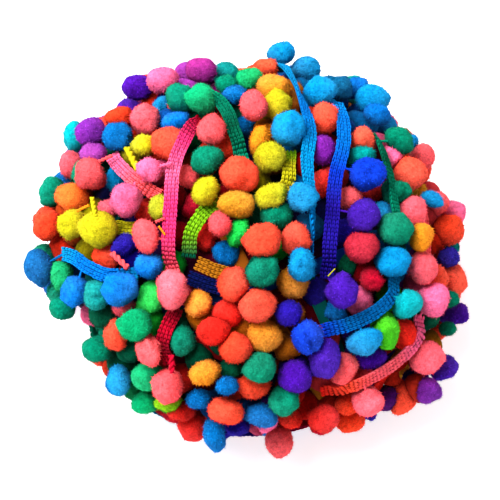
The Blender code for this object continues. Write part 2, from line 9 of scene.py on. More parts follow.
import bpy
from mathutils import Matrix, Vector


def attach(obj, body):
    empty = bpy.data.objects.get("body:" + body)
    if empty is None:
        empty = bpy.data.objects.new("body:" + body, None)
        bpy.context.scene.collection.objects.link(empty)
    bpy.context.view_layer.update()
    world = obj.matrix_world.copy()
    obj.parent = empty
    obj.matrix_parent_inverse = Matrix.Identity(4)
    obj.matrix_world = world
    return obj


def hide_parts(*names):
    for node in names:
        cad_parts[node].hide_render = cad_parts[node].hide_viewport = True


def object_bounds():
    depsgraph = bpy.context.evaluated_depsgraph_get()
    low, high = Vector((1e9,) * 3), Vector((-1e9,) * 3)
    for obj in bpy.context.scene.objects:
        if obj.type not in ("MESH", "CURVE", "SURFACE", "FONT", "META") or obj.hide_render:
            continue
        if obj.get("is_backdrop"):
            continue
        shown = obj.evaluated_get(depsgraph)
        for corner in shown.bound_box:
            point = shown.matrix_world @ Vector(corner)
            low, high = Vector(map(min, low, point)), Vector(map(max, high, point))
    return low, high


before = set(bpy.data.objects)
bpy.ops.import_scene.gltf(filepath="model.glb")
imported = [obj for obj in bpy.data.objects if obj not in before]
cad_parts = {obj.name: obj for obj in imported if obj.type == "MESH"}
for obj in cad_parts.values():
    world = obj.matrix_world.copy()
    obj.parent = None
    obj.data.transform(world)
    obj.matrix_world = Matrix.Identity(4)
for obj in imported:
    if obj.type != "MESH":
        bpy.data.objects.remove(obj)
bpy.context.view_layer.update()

# %% Imports and units
import math
from collections import namedtuple

import bpy
import numpy as np
from mathutils import Vector

MM = 0.001

# %% [markdown]
# ## The line of sight
#
# The bundle was photographed from the front and well above. A camera could be placed by eye and turned
# until it fits. Here its place is worked out from the elevation and the distance, because the tables of
# braids and pompoms further down are laid out along the same line of sight.

# %% Camera
VIEW_ELEVATION = math.radians(70.0)
VIEW_DISTANCE = 900 * MM
IMAGE_WIDTH = 166.7 * MM
SENSOR = 36.0
WIDEST_LEVEL = 27 * MM

CENTRE = np.array([0.0, 0.0, WIDEST_LEVEL])
VIEW_RIGHT = np.array([1.0, 0.0, 0.0])
VIEW_UP = np.array([0.0, math.sin(VIEW_ELEVATION), math.cos(VIEW_ELEVATION)])
VIEW_BACK = np.array([0.0, -math.cos(VIEW_ELEVATION), math.sin(VIEW_ELEVATION)])
EYE = CENTRE + VIEW_DISTANCE * VIEW_BACK


def aimed(thing, place, target):
    """Puts an object at a place with its -Z axis towards a target and its +Y axis upwards."""
    bpy.context.scene.collection.objects.link(thing)
    thing.location = Vector(place)
    thing.rotation_euler = Vector(target - place).to_track_quat("-Z", "Y").to_euler()
    return thing


lens = bpy.data.cameras.new("camera")
lens.sensor_width = SENSOR
lens.lens = SENSOR * VIEW_DISTANCE / IMAGE_WIDTH
lens.clip_start, lens.clip_end = 0.01, 20.0
bpy.context.scene.camera = aimed(bpy.data.objects.new("camera", lens), EYE, CENTRE)
print("camera at", EYE.round(3), "with a lens of", round(lens.lens, 1), "mm")

# %% [markdown]
# ## Light
#
# The bundle lies in a white light tent: light comes from all round, a little more of it from the upper
# left. A white sky gives the even part, and one large soft panel gives the direction and the faint
# shadow on the lower right. Small hard lamps would draw shadows that such a tent doesn't have.

# %% World and panel
SKY_STRENGTH = 0.48
PANEL_SIZE = 0.8
PANEL_POWER = 16.8
PANEL_PLACE = np.array([-0.40, 0.20, 0.98])

world = bpy.data.worlds.new("tent")
world.use_nodes = True
world.node_tree.nodes["Background"].inputs["Color"].default_value = (1.0, 1.0, 1.0, 1.0)
world.node_tree.nodes["Background"].inputs["Strength"].default_value = SKY_STRENGTH
bpy.context.scene.world = world
bpy.context.scene.view_settings.view_transform = "Standard"
bpy.context.scene.view_settings.look = "Medium High Contrast"

panel = bpy.data.lights.new("panel", "AREA")
panel.shape = "DISK"
panel.size = PANEL_SIZE
panel.energy = PANEL_POWER
aimed(bpy.data.objects.new("panel", panel), PANEL_PLACE, CENTRE)
print("a sky of", SKY_STRENGTH, "and a panel of", PANEL_POWER, "W")

# %% [markdown]
# ## Sizes of the bundle and the trim
#
# The shell is the surface on which the centres of the outer pompoms lie: half an ellipsoid above its
# widest level and a flatter half below it, because yarn sags under its own weight. All other sizes are
# those of a trim with 10 mm pompoms.

# %% Named sizes
SHELL_X = 68.8 * MM
SHELL_Y = 65.9 * MM
SHELL_RISE = 46.0 * MM
SHELL_DROP = 33.0 * MM
CORE_SINK = 4.0 * MM
POMPOM_RADIUS = 5.0 * MM
POMPOM_SQUASH = 0.94
POMPOM_SPREAD = 0.05
BRAID_WIDTH = 4.8 * MM
BRAID_THICK = 1.6 * MM
GAP = 0.45 * MM
SEAT = 0.5 * MM
HANG = 9.0 * MM
VIEW_REACH = 110.0 * MM
SIGHT_STEPS = 221
SIGHT_HALVINGS = 24
CURVE_STEPS = 24
TURN_PLACES = 9
END_LIFT = -2.8 * MM
TURN_LIFT = 1.0 * MM
END_LENGTH = 11.0 * MM
TUCK_LIFT = -3.9 * MM
SETTLE_ROUNDS = 260
SETTLE_FREE_ROUNDS = 70
PULL_ACROSS = 0.16
PULL_DEPTH = 0.03
BAND_POMPOM_YIELD = 0.35
HEIGHT_RANGE = (-7.0 * MM, 5.5 * MM)
PROUD_HEIGHT = 12.0 * MM
SMALLEST_RADIUS = 3.6 * MM
BAND_SAMPLE_RADIUS = 1.15 * MM
BAND_SAMPLE_ACROSS = 1.6 * MM
BAND_SAMPLE_STEP = 2.2 * MM
FILL_COLOURS = ("coral purple gold sky rose emerald indigo pink yellow blue "
                "orchid orangered teal lime").split()
FILL_CANDIDATES = 1100
FILL_LOWEST = 22.0 * MM
FILL_CLEARANCE = 8.9 * MM
FILL_SINK_SEEN = 4.0 * MM
FILL_SEEN_SHARE = 0.45
GOLDEN_ANGLE = 137.508

# %% Dye colours
COLOURS = {
    "orange": "f77a34", "coral": "fb5b41", "orangered": "f74e2c", "red": "e02c24", "crimson": "c91438",
    "maroon": "941630", "rose": "fb6268", "salmon": "fb6c7a", "pink": "f874a0", "hotpink": "f04486",
    "magenta": "a03090", "orchid": "a644aa", "violet": "8228a0", "purple": "4e169e",
    "ultramarine": "4e20a8", "indigo": "2e1e9c", "navy": "101c58", "cobalt": "1244cc",
    "blue": "0670b2", "azure": "087cd2",
    "sky": "0a98d2", "petrol": "08648c", "aqua": "06b0b8", "teal": "049a96", "emerald": "068f70",
    "darkgreen": "075c44", "green": "0cae74", "spring": "28e05c", "leaf": "54ce28", "lime": "8ccb24",
    "lemon": "c6be22", "yellow": "dc9c2c", "gold": "ee9824", "ochre": "b0761e",
}


def dye(name):
    """A named colour as scene-linear red, green and blue: sRGB's curve undone for each channel."""
    code = COLOURS[name]
    channels = np.array([int(code[k:k + 2], 16) / 255 for k in (0, 2, 4)])
    return np.where(channels <= 0.04045, channels / 12.92, ((channels + 0.055) / 1.055) ** 2.4)


print(len(COLOURS), "dyes, coral is", dye("coral").round(3))

# %% [markdown]
# ## Where the trim lies
#
# A pompom could be placed by hand as a point in space. It is easier to say where one sees it: the tables
# give places in millimetres to the right and up from the bundle's middle, along the line of sight, and
# the functions find where that line meets the shell. Runs are the stretches of heading that lie proud,
# tucks are short bands between the pompoms, rows are neighbouring pompoms with their dyes in order (a
# dot leaves a place free), and turns go round the foot.

# %% Tables
Run = namedtuple("Run", "name colour lift turn route pompoms")
RUNS = (
    Run("run_pink_fall", "pink", 4.4, (10, -8),
        ((-17.5, 45), (-22, 36.5), (-25.3, 27), (-26.3, 14), (-27, 1), (-26, -8)),
        ((-33.8, 4.5), (-26.5, -13.5))),
    Run("run_red_fall", "crimson", 1.2, (20, -15),
        ((-25.5, -20), (-27.8, -26), (-29, -32), (-27.6, -39)),
        ((-34, -32), (-27.5, -46.5))),
    Run("run_green_fall", "green", 4.0, (0, 12),
        ((-20, 52.5), (-13, 51.5), (-8, 46.5), (-5.2, 39), (-2.8, 31.5)),
        ((-23.2, 51), (-15.3, 49.5))),
    Run("run_lime_twist", "lime", 1.4, (15, 25),
        ((-11.5, 17.3), (-16, 11.8), (-19.8, 5.5), (-21.2, -1.5)),
        ((-15.5, 20.5),)),
    Run("run_blue_left", "blue", 3.4, (-10, 20),
        ((-64.5, -1), (-59, -2), (-54, -5.5), (-47, -8.5), (-39, -8)),
        ((-69.5, -6), (-59, -13.5), (-43.5, -13.5), (-36, -5.5))),
    Run("run_sky_fall", "sky", 4.8, (-30, 25),
        ((9, 62.5), (15.3, 54), (19.6, 41), (18.7, 29), (20, 17), (21, 0)),
        ((11, 65.2), (13, 40), (17.6, 16.5), (17, -5))),
    Run("run_cobalt_fall", "cobalt", 3.8, (0, -20),
        ((27, 52), (30.6, 44), (31, 35), (28.4, 24), (27.4, 12), (26.4, 0), (26.6, -9)),
        ((38.5, 26), (37, 11.5), (31.5, -14.5))),
    Run("run_green_edge", "emerald", 3.0, (35, 20),
        ((40, 41.5), (44, 33), (46.6, 24), (48.4, 13), (52, 1)),
        ((51, 36.5), (50, 20), (48.3, 6.5))),
    Run("run_blue_sweep", "blue", 2.6, (0, -10),
        ((49.8, -9), (46.6, -16), (40, -21.5), (32, -25), (25.5, -27.5)),
        ((48.3, -4.2), (52, -17.8), (38.5, -29.5))),
    Run("run_pink_sweep", "rose", 4.2, (-12, 10),
        ((58.5, -23), (55.5, -30), (49, -36.8), (41, -42), (33, -45.6), (25, -48.5)),
        ((60.3, -16), (59, -35.5), (39.5, -49))),
    Run("run_pink_left", "pink", 3.4, (20, -10),
        ((-47.5, 33), (-44, 28.5), (-39.5, 24.2), (-35, 21), (-31.5, 19.2)),
        ((-34, 26.5), (-41.5, 16.5))),
    Run("run_yellow_fall", "lemon", 1.2, (-15, 30),
        ((13.6, 34), (12.9, 28), (12.4, 22.5), (8.5, 19.5)),
        ((7, 31.5), (6.5, 18))),
)
Tuck = namedtuple("Tuck", "colour route")
TUCKS = (
    Tuck("ochre", ((-18, -4), (-13.5, -6), (-8.5, -7.5))),
    Tuck("navy", ((-21, -9), (-16, -11), (-10.5, -12.5))),
    Tuck("rose", ((60.5, 14), (61.8, 4), (61.6, -6))),
    Tuck("lemon", ((-46.5, 8.5), (-42.5, 8), (-38, 8))),
    Tuck("orchid", ((-26, 59.5), (-21.5, 58.5), (-17, 55.5))),
    Tuck("red", ((54.5, -40.5), (47.5, -44), (43.5, -51.5))),
)
Row = namedtuple("Row", "start end sink colours")
ROWS = (
    Row((-37.5, 54.5), (-8, 60.5), 0.0, "purple pink . magenta teal"),
    Row((-43.5, 44.5), (-25, 43.5), 0.0, "orangered rose blue"),
    Row((-40.5, 49.5), (-31, 49.5), 4.0, "purple coral"),
    Row((-7.5, 54.8), (6, 61.5), 0.0, "green green coral"),
    Row((-5, 51.5), (1.5, 47.5), 0.5, "blue rose"),
    Row((8, 55.5), (9, 47.5), 0.0, "gold lemon"),
    Row((20.5, 60.5), (24.5, 53), 0.0, "sky sky"),
    Row((35.5, 54), (43.8, 44.5), 0.0, "blue sky sky"),
    Row((24.2, 44.2), (24, 22.5), 1.0, "orangered purple red"),
    Row((37.5, 37), (36.5, 29.5), 2.0, "orangered teal"),
    Row((47.2, 31.5), (54, 26), 0.0, "pink coral"),
    Row((47.8, 43.5), (58.5, 31), 1.5, "pink . rose"),
    Row((33, 17.5), (37, 1), 1.0, "rose . crimson"),
    Row((41, 19), (44, 12.5), 4.5, "red sky"),
    Row((56, 19), (57.5, -5), 0.0, "yellow pink gold pink"),
    Row((67.5, 14.5), (68, -21.5), 0.0, "pink coral indigo coral purple"),
    Row((67, -28.5), (60.5, -47), 0.5, "teal purple purple"),
    Row((50, -47), (24, -56), 0.0, "coral . orangered red"),
    Row((52.5, -40.5), (57, -43.5), 2.0, "yellow indigo"),
    Row((14, -56.5), (-16, -49.5), 1.0, "red blue coral blue"),
    Row((10, -63.4), (-19.5, -60), 0.0, "red . indigo blue red"),
    Row((-22.5, -54), (-35, -50.5), 2.0, "red lime darkgreen"),
    Row((-44.5, -44), (-16.5, -42), 0.0, "blue green . gold"),
    Row((-8, -45.5), (1.5, -45.5), 1.0, "blue coral"),
    Row((-6.5, -39.5), (14, -41.5), 1.0, "darkgreen emerald indigo"),
    Row((12, -50), (24, -36.5), 0.0, "emerald . purple"),
    Row((-13, -27), (-4.5, -32.5), 0.0, "red coral"),
    Row((4.5, -28.8), (20, -29), 0.0, "gold . cobalt"),
    Row((-7.5, -20), (13, -20.5), 0.0, "red coral indigo"),
    Row((-5.5, -10.5), (13.5, -11), 0.5, "coral teal gold"),
    Row((4, 4), (15, 4.8), 0.0, "coral orangered"),
    Row((-9.8, 8.7), (-4, 4.2), 2.0, "rose green"),
    Row((-14.5, 4), (-8, -1), 5.0, "red blue"),
    Row((-4, 15.6), (8.5, 12), 0.0, "gold emerald"),
    Row((-4, 26), (-14, 30.5), 0.0, "coral emerald"),
    Row((-27.5, 37.2), (-59, 38.5), 0.0, "coral yellow blue purple sky"),
    Row((-13.8, 40.5), (-8, 34.8), 0.5, "rose red"),
    Row((-1, 41.5), (4.5, 38), 3.5, "teal gold"),
    Row((-60, 29.5), (-51, 32.3), 0.5, "pink orchid"),
    Row((-53, 25.5), (-58.5, 16.5), 0.0, "rose orange"),
    Row((-66.5, 19.5), (-67, 8), 0.0, "emerald orangered"),
    Row((-46, 24), (-48, 14), 4.0, "sky blue"),
    Row((-59, 8.3), (-50, 6), 0.0, "yellow lemon"),
    Row((-31, 14.5), (-36, 11.5), 3.0, "yellow red"),
    Row((-42, 2), (-47.5, -2.8), 4.0, "indigo coral"),
    Row((-62, -8.5), (-50.5, -15.5), 0.5, "emerald teal"),
    Row((-62, -19.8), (-38.5, -24.3), 0.0, "emerald darkgreen green"),
    Row((-32.5, -16), (-43, -20.5), 1.0, "green coral"),
    Row((-51, -34), (-44.5, -29.5), 0.5, "emerald coral"),
    Row((-22, -30), (-17, -17.5), 0.0, "teal gold"),
    Row((31, -40.5), (39.5, -36.5), 1.0, "rose indigo"),
    Row((45.5, -26.5), (53, -27.5), 1.0, "green coral"),
    Row((37, -17.5), (41, -9.5), 3.0, "pink red"),
    Row((33, -4.5), (32, 6), 5.5, "darkgreen indigo"),
    Row((21, -14), (24.5, -21.5), 5.0, "indigo navy"),
    Row((-20.3, 23.5), (-18.5, 13), 3.5, "rose red"),
)
Turn = namedtuple("Turn", "name colour bearing sweep low high count colours")
TURNS = (
    Turn("turn_front", "sky", 228, 82, 11.0, 10.0, 11, "teal sky sky blue cobalt indigo"),
    Turn("turn_right", "rose", 318, 82, 10.0, 11.0, 11, "purple magenta rose pink coral orange"),
    Turn("turn_back", "lemon", 48, 82, 11.0, 10.0, 11, "gold yellow lemon lime green emerald"),
    Turn("turn_left", "indigo", 138, 82, 10.0, 10.5, 11, "cobalt indigo purple orchid pink coral"),
)
print(len(RUNS), "runs,", len(TUCKS), "tucks,", len(ROWS), "rows,", len(TURNS), "turns")


# %% The shell
def unit(vector):
    """The vector, or each row of an array of vectors, at length 1."""
    return vector / np.linalg.norm(vector, axis=-1, keepdims=True)


def half_axes(points, lift):
    """Half axes of the ellipsoid that bounds the shell at each point: rise above, drop below."""
    points = np.atleast_2d(points)
    vertical = np.where(points[:, 2] >= WIDEST_LEVEL, SHELL_RISE, SHELL_DROP)
    flat = np.ones(len(points))
    return np.stack([SHELL_X * flat, SHELL_Y * flat, vertical], axis=1) + lift


def fullness(points, lift=0.0):
    """Ellipsoid measure |(p - centre) / half axes|: 1 on the shell raised by lift, less inside it."""
    points = np.atleast_2d(points)
    return np.linalg.norm((points - CENTRE) / half_axes(points, lift), axis=1)


def height_over_shell(points):
    """Distance outside the shell, measured from the bundle's centre: |p - centre| (1 - 1 / fullness)."""
    points = np.atleast_2d(points)
    return np.linalg.norm(points - CENTRE, axis=1) * (1.0 - 1.0 / fullness(points))


def outward(points):
    """Unit normal of the shell under each point: the gradient of the ellipsoid measure."""
    points = np.atleast_2d(points)
    return unit((points - CENTRE) / half_axes(points, 0.0) ** 2)


def sight(right, up, lift):
    """Point where the line of sight through (right, up) first meets the shell raised by lift.

    Past the rim it is the point of that line that comes closest to the shell.
    """
    aim = CENTRE + right * VIEW_RIGHT + up * VIEW_UP
    along = unit(aim - EYE)
    steps = np.linspace(-VIEW_REACH, VIEW_REACH, SIGHT_STEPS)
    measure = fullness(aim + steps[:, None] * along, lift)
    inside = np.nonzero(measure < 1.0)[0]
    if len(inside) == 0:
        return aim + steps[np.argmin(measure)] * along
    near, far = steps[inside[0] - 1], steps[inside[0]]
    for _ in range(SIGHT_HALVINGS):
        middle = 0.5 * (near + far)
        if fullness(aim + middle * along, lift)[0] < 1.0:
            far = middle
        else:
            near = middle
    return aim + far * along


def flank(bearing, level):
    """Point of the shell at a bearing in degrees from +X and a height over the floor."""
    slope = (level - WIDEST_LEVEL) / (SHELL_RISE if level > WIDEST_LEVEL else SHELL_DROP)
    reach = math.sqrt(1.0 - slope * slope)
    angle = math.radians(bearing)
    return np.array([SHELL_X * reach * math.cos(angle), SHELL_Y * reach * math.sin(angle), level])


print("the middle of the view lies at", sight(0.0, 0.0, 0.0).round(4))


# %% Lines of heading
def smooth_path(points, step):
    """Catmull-Rom curve through the points, resampled at about equal steps."""
    points = np.array(points)
    ends = np.vstack([2 * points[0] - points[1], points, 2 * points[-1] - points[-2]])
    dense = []
    for k in range(len(points) - 1):
        a, b, c, d = ends[k:k + 4]
        t = np.linspace(0.0, 1.0, CURVE_STEPS, endpoint=False)[:, None]
        curve = 2 * b + (c - a) * t + (2 * a - 5 * b + 4 * c - d) * t ** 2
        dense.append(0.5 * (curve + (3 * b - a - 3 * c + d) * t ** 3))
    dense = np.vstack(dense + [points[-1:]])
    length = np.concatenate([[0.0], np.cumsum(np.linalg.norm(np.diff(dense, axis=0), axis=1))])
    count = max(2, round(length[-1] / step) + 1)
    marks = np.linspace(0.0, length[-1], count)
    return np.stack([np.interp(marks, length, dense[:, k]) for k in range(3)], axis=1)


def run_path(run, step):
    """Centre line of a proud run: over the shell by its lift, with ends that dive to END_LIFT."""
    lift = run.lift * MM
    level = [sight(right * MM, up * MM, 0.0) for right, up in run.route]
    line = smooth_path(level, step)
    travel = np.concatenate([[0.0], np.cumsum(np.linalg.norm(np.diff(line, axis=0), axis=1))])
    nearest_end = np.minimum(travel, travel[-1] - travel) / END_LENGTH
    share = np.clip(nearest_end, 0.0, 1.0)
    share = share * share * (3.0 - 2.0 * share)
    raise_by = END_LIFT + (lift - END_LIFT) * share
    return line + raise_by[:, None] * outward(line)


def band_frames(line, turn):
    """Across and outward directions along a band, rolled about its line by the turns at equal steps."""
    forward = unit(np.gradient(line, axis=0))
    face = outward(line)
    face = unit(face - np.sum(face * forward, axis=1, keepdims=True) * forward)
    across = np.cross(forward, face)
    marks = np.linspace(0.0, len(turn) - 1.0, len(line))
    roll = np.radians(np.interp(marks, np.arange(len(turn)), turn))[:, None]
    rolled = np.cos(roll) * across + np.sin(roll) * face
    return rolled, np.cross(rolled, forward)


def tuck_path(tuck, step):
    """Centre line of a tucked band, along the wound inside."""
    line = smooth_path([sight(right * MM, up * MM, 0.0) for right, up in tuck.route], step)
    return line + TUCK_LIFT * outward(line)


def turn_path(turn, step):
    """Centre line of a turn round the foot: bearing and height go from one end to the other."""
    places = [flank(turn.bearing + share * turn.sweep, (turn.low + share * (turn.high - turn.low)) * MM)
              for share in np.linspace(0.0, 1.0, TURN_PLACES)]
    line = smooth_path(places, step)
    return line + TURN_LIFT * outward(line)


def band_samples(line, roll):
    """Small balls that fill a band, three across, to keep other pieces off it."""
    across, _ = band_frames(line, roll)
    return np.vstack([line + k * BAND_SAMPLE_ACROSS * across for k in (-1, 0, 1)])


print("the pink fall is", round(BAND_SAMPLE_STEP * len(run_path(RUNS[0], BAND_SAMPLE_STEP)), 3), "m long")


# %% Homes of the pompoms
def turn_homes(turn):
    """Places of a turn's pompoms, over and under it by turns, an even way apart."""
    line = turn_path(turn, BAND_SAMPLE_STEP)
    marks = np.linspace(2, len(line) - 3, turn.count).round().astype(int)
    across, _ = band_frames(line, (0, 0))
    side = np.where(np.arange(turn.count) % 2 == 0, 1.0, -1.0)[:, None]
    upward = np.sign(across[:, 2:3])[marks]
    return line[marks] + side * upward * (0.5 * BRAID_WIDTH + POMPOM_RADIUS) * across[marks]


def pompom_homes(samples):
    """Where each pompom would lie, its band (or -1 on the wound inside) and its colour."""
    homes, owners, colours = [], [], []
    for index, run in enumerate(RUNS):
        for right, up in run.pompoms:
            homes.append(sight(right * MM, up * MM, 0.5 * run.lift * MM))
            owners.append(index)
            colours.append(run.colour)
    for index, turn in enumerate(TURNS):
        names = turn.colours.split()
        for k, home in enumerate(turn_homes(turn)):
            homes.append(home)
            owners.append(len(RUNS) + index)
            colours.append(names[k * len(names) // turn.count])
    for row in ROWS:
        names = row.colours.split()
        for k, name in enumerate(names):
            if name != ".":
                share = k / max(1, len(names) - 1)
                right = row.start[0] + share * (row.end[0] - row.start[0])
                up = row.start[1] + share * (row.end[1] - row.start[1])
                homes.append(sight(right * MM, up * MM, -row.sink * MM))
                owners.append(-1)
                colours.append(name)
    top = WIDEST_LEVEL + SHELL_RISE
    for k in range(FILL_CANDIDATES):
        place = flank(GOLDEN_ANGLE * k, top - (k + 0.5) / FILL_CANDIDATES * (top - FILL_LOWEST))
        near = min(np.linalg.norm(np.array(homes) - place, axis=1).min(),
                   np.linalg.norm(samples - place, axis=1).min() + BAND_SAMPLE_RADIUS)
        if near > FILL_CLEARANCE:
            normal = outward(place)[0]
            seen = normal @ VIEW_BACK > FILL_SEEN_SHARE
            homes.append(place - (FILL_SINK_SEEN if seen else 0.0) * normal)
            owners.append(-1)
            colours.append(FILL_COLOURS[len(homes) % len(FILL_COLOURS)])
    return np.array(homes), np.array(owners), colours

# %% [markdown]
# ## Letting the pompoms settle
#
# Pompoms at their listed places overlap here and there. A physics solver could drop them, but it would
# also scatter them. A few hundred rounds of small pushes are enough: each round draws every pompom
# towards its home and pushes pairs apart that are too close, and the run's own pompoms stay within the
# reach of their threads.

# %% Settle
def tether(centre, line, radius):
    """Keeps a run's pompom within its thread's reach of the heading and seated on its face."""
    nearest = line[np.argmin(np.linalg.norm(line - centre, axis=1))]
    offset = centre - nearest
    distance = np.linalg.norm(offset)
    wanted = min(max(distance, radius + 0.5 * BRAID_THICK - SEAT), HANG)
    return nearest + offset * (wanted / max(distance, 0.1 * MM))


def settle(homes, owners, lines, samples, sample_owners):
    """Moves pompoms apart until each clears the others and every band but its own.

    Each round pulls a pompom towards its home, firmly across the line of sight and gently along it,
    then pushes overlapping pairs apart. What is still too close at the end gets a smaller radius.
    """
    count = len(homes)
    centres = homes.copy()
    wobble = np.sin(np.arange(count) * math.radians(GOLDEN_ANGLE))
    radii = POMPOM_RADIUS * (1.0 + POMPOM_SPREAD * wobble)
    yields = np.where(owners >= 0, BAND_POMPOM_YIELD, 1.0)[:, None]
    foreign = sample_owners[None, :] != owners[:, None]
    apart = ~np.eye(count, dtype=bool)
    for step in range(SETTLE_ROUNDS):
        if step < SETTLE_ROUNDS - SETTLE_FREE_ROUNDS:
            pull = homes - centres
            depth = pull @ VIEW_BACK
            centres = centres + PULL_ACROSS * pull + np.outer((PULL_DEPTH - PULL_ACROSS) * depth, VIEW_BACK)
        delta = centres[:, None] - centres[None]
        distance = np.linalg.norm(delta, axis=2) + ~apart
        short = np.clip(radii[:, None] + radii[None] + GAP - distance, 0.0, None) * apart
        centres = centres + 0.5 * yields * np.sum(delta * (short / distance)[..., None], axis=1)
        delta = centres[:, None] - samples[None]
        distance = np.linalg.norm(delta, axis=2)
        short = np.clip(radii[:, None] + BAND_SAMPLE_RADIUS + GAP - distance, 0.0, None) * foreign
        worst = np.argmax(short, axis=1)
        pick = (np.arange(count), worst)
        centres = centres + delta[pick] * (short[pick] / distance[pick])[:, None]
        for k in np.nonzero(owners >= 0)[0]:
            centres[k] = tether(centres[k], lines[owners[k]], radii[k])
        height = height_over_shell(centres)
        lowest = np.where(owners < 0, HEIGHT_RANGE[0], radii - CORE_SINK + GAP)
        highest = np.where(owners < 0, HEIGHT_RANGE[1], PROUD_HEIGHT)
        centres = centres + (np.clip(height, lowest, highest) - height)[:, None] * outward(centres)
        centres[:, 2] = np.maximum(centres[:, 2], radii * POMPOM_SQUASH)
    delta = np.linalg.norm(centres[:, None] - centres[None], axis=2)
    share = radii[:, None] / (radii[:, None] + radii[None])
    room = np.where(apart, (delta - GAP) * share, 1.0).min(axis=1)
    delta = np.linalg.norm(centres[:, None] - samples[None], axis=2)
    room = np.minimum(room, np.where(foreign, delta - BAND_SAMPLE_RADIUS - GAP, 1.0).min(axis=1))
    return centres, np.clip(np.minimum(radii, room), SMALLEST_RADIUS, None)


lines = [run_path(run, BAND_SAMPLE_STEP) for run in RUNS]
lines += [turn_path(turn, BAND_SAMPLE_STEP) for turn in TURNS]
rolls = [run.turn for run in RUNS] + [(0, 0)] * (len(TURNS) + len(TUCKS))
every_line = lines + [tuck_path(tuck, BAND_SAMPLE_STEP) for tuck in TUCKS]
sample_sets = [band_samples(line, roll) for line, roll in zip(every_line, rolls)]
sample_owners = np.concatenate([np.full(len(balls), k if k < len(lines) else -9)
                                for k, balls in enumerate(sample_sets)])
samples = np.vstack(sample_sets)
homes, owners, colours = pompom_homes(samples)
centres, radii = settle(homes, owners, lines, samples, sample_owners)
print(len(centres), "pompoms settled,", int(np.sum(owners >= 0)), "of them on proud bands")

# %% [markdown]
# ## Pompoms of the turns underneath
#
# Between the outer pompoms one looks down on those of the turn below. They could be a second full
# layout. Here a spiral of candidates on a lower shell is thinned out instead: one stays where it keeps
# clear of the outer pompoms, of the bands and of those that were chosen before it. A few more close the
# gaps low on the right. At the lower left the winding dips in and leaves a notch in the outline, so
# nothing is put there, and the turns that pass it are drawn in by a smooth bump.

# %% Under layer
UNDER_SINK = 7.3 * MM
UNDER_CANDIDATES = 1500
UNDER_LOWEST = 5.0 * MM
UNDER_TO_OUTER = 7.6 * MM
UNDER_TO_UNDER = 8.6 * MM
UNDER_TO_BAND = 5.2 * MM
UNDER_RADIUS = 4.9 * MM
# The under layer's dyes are dimmed and deepened: painted shade, for the shade deep between the outer
# pompoms.
UNDER_PAINTED_SHADE = 0.5
UNDER_SHADE_DEPTH = 1.25
EXTRA_UNDER = ((59.0, -22.5, -4.0), (59.0, -31.5, -4.0), (56.0, -36.0, -4.0), (47.0, -41.5, -4.0),
               (55.5, -46.0, -4.0), (45.3, -48.7, -4.0))
NOTCH = np.array([-53.5, -24.5]) * MM
NOTCH_REACH = 8.5 * MM
NOTCH_DEPTH = 6.0 * MM


def closest(points, place):
    """Distance from a place to the nearest of the points."""
    return np.linalg.norm(points - place, axis=1).min()


def under_layer():
    """Centres of the lower pompoms: a golden-angle spiral on the sunk shell, thinned by clearances."""
    top = WIDEST_LEVEL + SHELL_RISE
    chosen = []
    for k in range(UNDER_CANDIDATES):
        level = top - (k + 0.5) / UNDER_CANDIDATES * (top - UNDER_LOWEST)
        place = flank(GOLDEN_ANGLE * k, level)
        place = place - UNDER_SINK * outward(place)[0]
        place[2] = max(place[2], UNDER_RADIUS)
        clear = closest(centres, place) > UNDER_TO_OUTER and closest(samples, place) > UNDER_TO_BAND
        if clear and (not chosen or closest(np.array(chosen), place) > UNDER_TO_UNDER):
            chosen.append(place)
    return np.array(chosen)


def seen(places):
    """Where places are seen: across and up, in the plane through the middle of the view."""
    away = (EYE - places) @ VIEW_BACK
    flat = np.stack([(places - EYE) @ VIEW_RIGHT, (places - EYE) @ VIEW_UP], axis=1)
    return VIEW_DISTANCE * flat / away[:, None]


def drawn_in(points):
    """Points pulled inwards round the notch, by NOTCH_DEPTH * exp(-(distance as seen / NOTCH_REACH)^2)."""
    off = np.linalg.norm(seen(points) - NOTCH, axis=1) / NOTCH_REACH
    return points - NOTCH_DEPTH * np.exp(-off ** 2)[:, None] * outward(points)


under = under_layer()
under = under[np.linalg.norm(seen(under) - NOTCH, axis=1) > NOTCH_REACH]
under = np.vstack([under] + [sight(right * MM, up * MM, lift * MM) for right, up, lift in EXTRA_UNDER])
under[:, 2] = np.maximum(under[:, 2], UNDER_RADIUS)
print(len(under), "pompoms underneath")

# %% [markdown]
# ## A small language for shaders
#
# Node trees are easier to read as formulas. One class wraps a node's output so that Python's arithmetic
# adds Math nodes, and one method makes any other node from its type, its settings and its inputs.

# %% Shader helpers
SHEEN_ROUGHNESS = 0.6
SPECULAR_LEVEL = 0.03
NOISE_DETAIL = 2.0


class Socket:
    """A node's output that takes part in Python arithmetic."""

    def __init__(self, tree, link):
        self.tree, self.link = tree, link

    def maths(self, operation, first, second):
        """Adds a Math node, joins its two inputs or sets them, and gives its output."""
        node = self.tree.nodes.new("ShaderNodeMath")
        node.operation = operation
        for slot, value in zip(node.inputs, (first, second)):
            if isinstance(value, Socket):
                self.tree.links.new(value.link, slot)
            else:
                slot.default_value = value
        return Socket(self.tree, node.outputs[0])

    def __add__(self, other):
        return self.maths("ADD", self, other)

    def __radd__(self, other):
        return self.maths("ADD", other, self)

    def __sub__(self, other):
        return self.maths("SUBTRACT", self, other)

    def __rsub__(self, other):
        return self.maths("SUBTRACT", other, self)

    def __mul__(self, other):
        return self.maths("MULTIPLY", self, other)

    def __rmul__(self, other):
        return self.maths("MULTIPLY", other, self)


